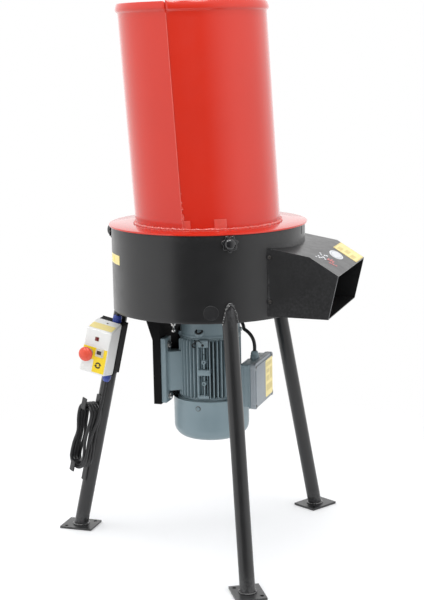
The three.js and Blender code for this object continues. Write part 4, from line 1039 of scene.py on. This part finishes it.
lid = [(*bevel(prism(octo(-73, 79, 357, 466, 13), 121.3, 132, "yz"), 1.6, 3), 0), (*bevel(prism(octo(-66, 72, 364, 459, 5), 131.4, 134.3, "yz"), 1.8, 3), 0)]
for yy in (-65, 71):
    for zz in (365, 458):
        lid.append(cyl_between((121.4, yy, zz), (136, yy, zz), [(0, 0), (8.0, 0), (8.0, 11.2), (7.0, 12.4), (5.0, 12.6), (4.9, 11.0), (0, 11.0)], 36, 0))
        lid.append(cyl_between((131.4, yy, zz), (136, yy, zz), [(0, 0), (4.4, 0), (4.4, 1.6), (3.5, 2.8), (1.6, 3.3), (1.5, 2.0), (0, 2.0)], 28, 1))
lid.append((*bevel(prism(octo(12, 71.5, 366, 457, 4), 134.2, 134.7, "yz"), 0.2, 1), 2))
for k_, (a_, b_, c_2, d_2) in enumerate([(17, 66, 440, 450), (17, 44, 424, 433), (50, 66, 405, 433), (17, 44, 404, 417), (17, 66, 380, 396)]):
    lid.append((*block(134.7, 134.76, a_, b_, c_2, d_2), 3))
make("terminal_box_lid_cast", merge(*lid), [LID_GREY, DARK_METAL, PALE_YELLOW, STRAW], "frame", replaces="terminal_box_lid")
gl = merge(moved(hexagon(11.2, 463.3, 471.4, 1.2), Matrix.Translation((110, 4, 0))), moved(revolve([(0, 463.2), (11.6, 463.2), (11.6, 464.6), (0, 464.6)], 48, False), Matrix.Translation((110, 4, 0))),
           moved(revolve([(0, 471), (9.6, 471), (9.6, 472.0), (9.1, 472.4), (9.6, 473.0), (9.6, 475.2), (8.6, 478.6), (7.0, 481.4), (5.6, 482.3), (4.6, 482.3), (4.5, 481), (0, 481)], 60, False, lambda t, r, z: r * (1 - 0.035 * (math.sin(9 * t) > 0.2) * (472.8 < z < 479))), Matrix.Translation((110, 4, 0))))
make("terminal_gland_nut", gl, MOTOR, "frame", replaces="terminal_gland")
mc = [(110, 4, 481), (110, 4, 495), (107.5, 4, 508), (102, 4.5, 518.5), (94.5, 5.5, 526.5), (86.5, 9, 531), (80, 17, 532), (75.5, 30, 534), (66, 48, 540), (42, 72, 548), (14, 86, 555), (-16, 96, 563), (-52, 106, 572), (-100, 110.5, 578),
      (-146, 103, 580.5), (-180, 66, 583), (-197, 22, 584.4), (-202.5, -14, 584.4), (-208, -33, 581.5), (-215.5, -41, 575), (-220.6, -42, 567.5), (-221.9, -42, 562.6)]
make("motor_cable_sheath", sweep(resample(spline(mc, 10), 3.5), 4.25, 16), RUBBER, "frame", replaces="motor_cable", angle=60)
for k, (x, y, z, a) in enumerate([(-52, 106, 572, 14), (-123, 108.4, 579.3, -14), (-188, 46, 583.9, -68)]):
    # saddle strap over the cable, screwed up to the floor
    pts = [(-10.5, 589.4), (-6.2, 589.2), (-5.4, z + 1), (-3.6, z - 4.2), (0, z - 5.4), (3.6, z - 4.2), (5.4, z + 1), (6.2, 589.2), (10.5, 589.4)]
    v = []
    for w in (-5, 5):
        for q, zz in pts:
            v.append((w, q, zz))
        for q, zz in pts:
            v.append((w, q * 0.9 if abs(q) > 6.3 else q * 1.12, zz - 0.9))
    n = len(pts)
    f = []
    for i in range(n - 1):
        f += [[i, i + 1, 2 * n + i + 1, 2 * n + i], [n + i, 3 * n + i, 3 * n + i + 1, n + i + 1], [i, n + i, n + i + 1, i + 1], [2 * n + i, 2 * n + i + 1, 3 * n + i + 1, 3 * n + i]]
    f += [[0, 2 * n, 3 * n, n], [n - 1, 2 * n - 1, 4 * n - 1, 3 * n - 1]]
    make(f"cable_saddle_{k}", (v, f), ZINC, "frame", M=Matrix.Translation((x, y, 0)) @ Matrix.Rotation(a * RAD, 4, "Z"))

# ------------------------------------------------------------------ switch box (rear leg frame)
def rr(ha, hs, r, k=5, ca=0, cs_=0):
    o = []
    for cx, cy, a0 in ((ha - r, hs - r, 0), (-ha + r, hs - r, 90), (-ha + r, -hs + r, 180), (ha - r, -hs + r, 270)):
        o += [(ca + cx + r * math.cos((a0 + 90 * i / k) * RAD), cs_ + cy + r * math.sin((a0 + 90 * i / k) * RAD)) for i in range(k + 1)]
    return o


def loft(sections, cap0=True, cap1=True):
    """sections: [(b, [(a, s), ...])] along the box's depth."""
    n = len(sections[0][1])
    v = [(a, b, s) for b, ps in sections for a, s in ps]
    f = [[j * n + i, j * n + (i + 1) % n, (j + 1) * n + (i + 1) % n, (j + 1) * n + i] for j in range(len(sections) - 1) for i in range(n)]
    if cap0:
        f.append(list(range(n))[::-1])
    if cap1:
        f.append([(len(sections) - 1) * n + i for i in range(n)])
    return v, f


def hs_at(b):
    return lerp(66, 54.7, (-b - 60.3) / 59.7)


cov = []
for b, d in ((-60.4, 0.8), (-61.2, 0.0), (-75, 0), (-95, 0), (-114.5, 0), (-117.2, 0.5), (-118.9, 1.6), (-119.8, 3.2), (-120.0, 4.8)):
    cov.append((b, rr(33 - d, hs_at(b) - d, max(0.8, 4.5 - 0.4 * d), 5, A0, S0)))
make("switch_cover_moulded", loft(cov), WHITE_PLASTIC, "frame", replaces="switch_cover", M=LEG_M, angle=40)
bs = [(-60, rr(33.2, 64.2, 4, 5, A0, S0 - 3)), (-59.2, rr(34, 65, 4.5, 5, A0, S0 - 3)), (-40, rr(34, 65, 4.5, 5, A0, S0 - 3)), (-23, rr(34, 65, 4.5, 5, A0, S0 - 3)), (-22.1, rr(33.2, 64.2, 4, 5, A0, S0 - 3))]
make("switch_base_moulded", loft(bs), SWITCH_BLACK, "frame", replaces="switch_base", M=LEG_M, angle=40)
# switch bracket in the darker black copy: painted shade
cad_look(["switch_bracket"], BLACK_SHADED_COPY, bevel_mm=0.7, seg=3)
cad_look(["cable_hook_upper", "cable_hook_lower"], BLACK, bevel_mm=1.4, seg=3)


def plate(poly, b0, b1, mi=0):
    v = [(a, b0, s) for a, s in poly] + [(a, b1, s) for a, s in poly]
    n = len(poly)
    return v, [list(range(n)), list(range(n, 2 * n))[::-1]] + [[i, n + i, n + (i + 1) % n, (i + 1) % n] for i in range(n)], mi


Lp = [(A0 - 31.2, S0 + 10), (A0 + 30.6, S0 + 10), (A0 + 30.6, S0 - 50.5), (A0 - 0.5, S0 - 50.5), (A0 - 0.5, S0 - 20), (A0 - 31.2, S0 - 20)]
lab = [plate(Lp, -120.0, -120.3, 0)]
cx_, cs2 = A0 + 13, S0 - 31.5


def arc_band(a0, a1, ro, ri, n=18):
    o = [(cx_ + ro * math.cos(lerp(a0, a1, i / n) * RAD), cs2 + ro * math.sin(lerp(a0, a1, i / n) * RAD)) for i in range(n + 1)]
    return o + [(cx_ + ri * math.cos(lerp(a1, a0, i / n) * RAD), cs2 + ri * math.sin(lerp(a1, a0, i / n) * RAD)) for i in range(n + 1)]


# two curved arrows turning the same way
for a0_ in (18, 198):
    lab.append(plate(arc_band(a0_, a0_ + 138, 7.8, 4.0), -120.3, -120.45, 1))
    e1, e2 = a0_ * RAD, (a0_ - 34) * RAD
    lab.append(plate([(cx_ + 10.2 * math.cos(e1), cs2 + 10.2 * math.sin(e1)), (cx_ + 1.6 * math.cos(e1), cs2 + 1.6 * math.sin(e1)), (cx_ + 6.0 * math.cos(e2), cs2 + 6.0 * math.sin(e2))], -120.3, -120.45, 1))
# pale strip on the cover's sloping top, near the front
hb0, hb1 = -86, -114
strip = []
for off in (0.05, 0.3):
    for b in (hb0, hb1):
        for a in (A0 - 29.5, A0 + 29.5):
            strip.append((a, b, S0 + hs_at(b) + off))
lab.append((strip, [[0, 2, 3, 1], [4, 5, 7, 6], [0, 1, 5, 4], [2, 6, 7, 3], [0, 4, 6, 2], [1, 3, 7, 5]], 2))
sm = (A0 + 2, -76)
lab.append((*moved(revolve([(0, 0), (2.6, 0), (2.4, 0.7), (1.2, 0.9), (1.0, 0.3), (0, 0.3)], 20, False), Matrix.Translation((sm[0], sm[1], S0 + hs_at(sm[1]) - 0.1))), 1))
make("switch_labels", merge(*lab), [YELLOW, DARK_INK, PALE_YELLOW], "frame", M=LEG_M)

# pilot window, start button and its frame, e-stop
PI_ = (A0 - 1, S0 + 32)
make("pilot_lens", loft([(-118, rr(4.8, 4.8, 0.9, 4, *PI_)), (-120.9, rr(4.8, 4.8, 0.9, 4, *PI_)), (-121.4, rr(4.1, 4.1, 0.9, 4, *PI_))]), LENS_RED, "frame", replaces="pilot_window", M=LEG_M)
ST = (A0 + 12, S0)


def frame_ring(cx, cy, ho, hi, b0, b1, mi=0):
    o, i_ = rr(ho, ho, 2.2, 4, cx, cy), rr(hi, hi, 1.0, 4, cx, cy)
    n = len(o)
    v = [(a, b0, s) for a, s in o] + [(a, b1 + 0.5, s) for a, s in o] + [(cx + (a - cx) * 0.95, b1, cy + (s - cy) * 0.95) for a, s in o] + [(a, b1 + 0.1, s) for a, s in i_] + [(a, b0, s) for a, s in i_]
    f = []
    for j in range(5):
        q = (j + 1) % 5
        f += [[j * n + i, j * n + (i + 1) % n, q * n + (i + 1) % n, q * n + i] for i in range(n)]
    return v, f, mi


make("start_frame", merge(frame_ring(*ST, 10.2, 7.4, -120.0, -122.6), frame_ring(*PI_, 5.8, 4.9, -119.9, -120.6)), CREAM, "frame", M=LEG_M)
sb = merge((*loft([(-108, rr(7, 7, 1, 4, *ST)), (-123.2, rr(7, 7, 1.2, 4, *ST)), (-123.9, rr(6.2, 6.2, 1.4, 4, *ST)), (-124.0, rr(5.0, 5.0, 1.4, 4, *ST))]), 1), (*loft([(-123.8, rr(5.9, 4.9, 0.9, 3, ST[0] - 0.3, ST[1] + 0.9)), (-124.4, rr(5.5, 4.5, 0.8, 3, ST[0] - 0.3, ST[1] + 0.9))]), 0))
make("start_button_cap", sb, [BROWN_PLASTIC, CREAM], "start_button", replaces="start_button", M=LEG_M)
ES = (A0 - 15, S0 - 5)
EM = LEG_M @ Matrix.Translation((ES[0], 0, ES[1])) @ Matrix.Rotation(90 * RAD, 4, "X")
head = revolve([(0, 137.0), (13.6, 137.0), (14.4, 137.3), (16.2, 138.0), (17.2, 139.3), (17.5, 141.2), (17.3, 143.0), (16.4, 145.0), (14.4, 147.0), (11.2, 148.8), (7.2, 150.0), (3.2, 150.5), (0, 150.6)], 80, False)
make("estop_mushroom", head, ESTOP_RED, "estop_knob", replaces="estop_head", M=EM, angle=50)
stem = revolve([(0, 102), (7.4, 102), (8, 102.6), (8, 128), (9.6, 131), (10.2, 136.2), (9.6, 136.7), (0, 136.7)], 56, False)
make("estop_stem_turned", stem, BLACK_PLASTIC, "estop_plunger", replaces="estop_stem", M=EM)
coll = revolve([(8.6, 119.8), (9.9, 119.8), (9.9, 121.4), (9.6, 122.3), (9.3, 122.7), (9.0, 122.7), (9.0, 121.4), (8.6, 121.2)], 64)
make("estop_collar", coll, GREY_PLASTIC, "frame", M=EM)


def gland(z0, z1, up_):
    k = 1 if up_ else -1
    hx = hexagon(11.5, 0, 7.6, 1.1)
    dome = revolve([(0, 7), (10.5, 7), (10.5, 8.2), (9.9, 8.7), (10.5, 9.4), (10.6, 13.5), (9.8, 16.5), (8.2, z1 - 1.6), (6.6, z1), (4.5, z1), (4.4, z1 - 1.6), (0, z1 - 1.6)], 72, False,
                   lambda t, r, z: r * (1 - 0.05 * (math.sin(12 * t) > 0) * (9 < z < 16.8)))
    return moved(merge(hx, dome), Matrix.Translation((0, 0, z0)) @ Matrix.Scale(k, 4, (0, 0, 1)))


make("gland_top_nut", moved(gland(S0 + 62.3, 17.2, True), Matrix.Translation((A0 + 12, -42, 0))), BLUE_PLASTIC, "frame", replaces="gland_top", M=LEG_M)
make("gland_bottom_nut", moved(gland(S0 - 68.3, 21.6, False), Matrix.Translation((A0 + 14, -45, 0))), BLUE_PLASTIC, "frame", replaces="gland_bottom", M=LEG_M)
for k, (d0, s_) in enumerate([(18.2, TOP + 15), (18.2, LOW - 15)]):
    for w in (-7.2, 7.2):
        make(f"hook_weld_{k}_{'a' if w < 0 else 'b'}", weld([(17.6, w, s_ + q) for q in range(-16, 17, 3)], 2.2, False, k * 3 + w), WELD_BLACK, "frame", M=HOOK_M, angle=75)

# ------------------------------------------------------------------ cutting rotor
cad_look(["ejector_hub", "cutter_disc"], STAINLESS, bevel_mm=0.3)
cad_look(["cutter_blade"], STAINLESS, bevel_mm=0.5)
hb = merge(revolve([(0, 614), (4.8, 614), (5, 615), (5, 648), (0, 648)], 28, False), revolve([(5.2, 646.4), (19, 646.4), (20, 647.2), (20, 649.2), (19.2, 650), (5.2, 650)], 64), hexagon(9.6, 650, 657, 1.0))
make("hub_bolt_hex", hb, ZINC, "rotor", replaces="hub_bolt")
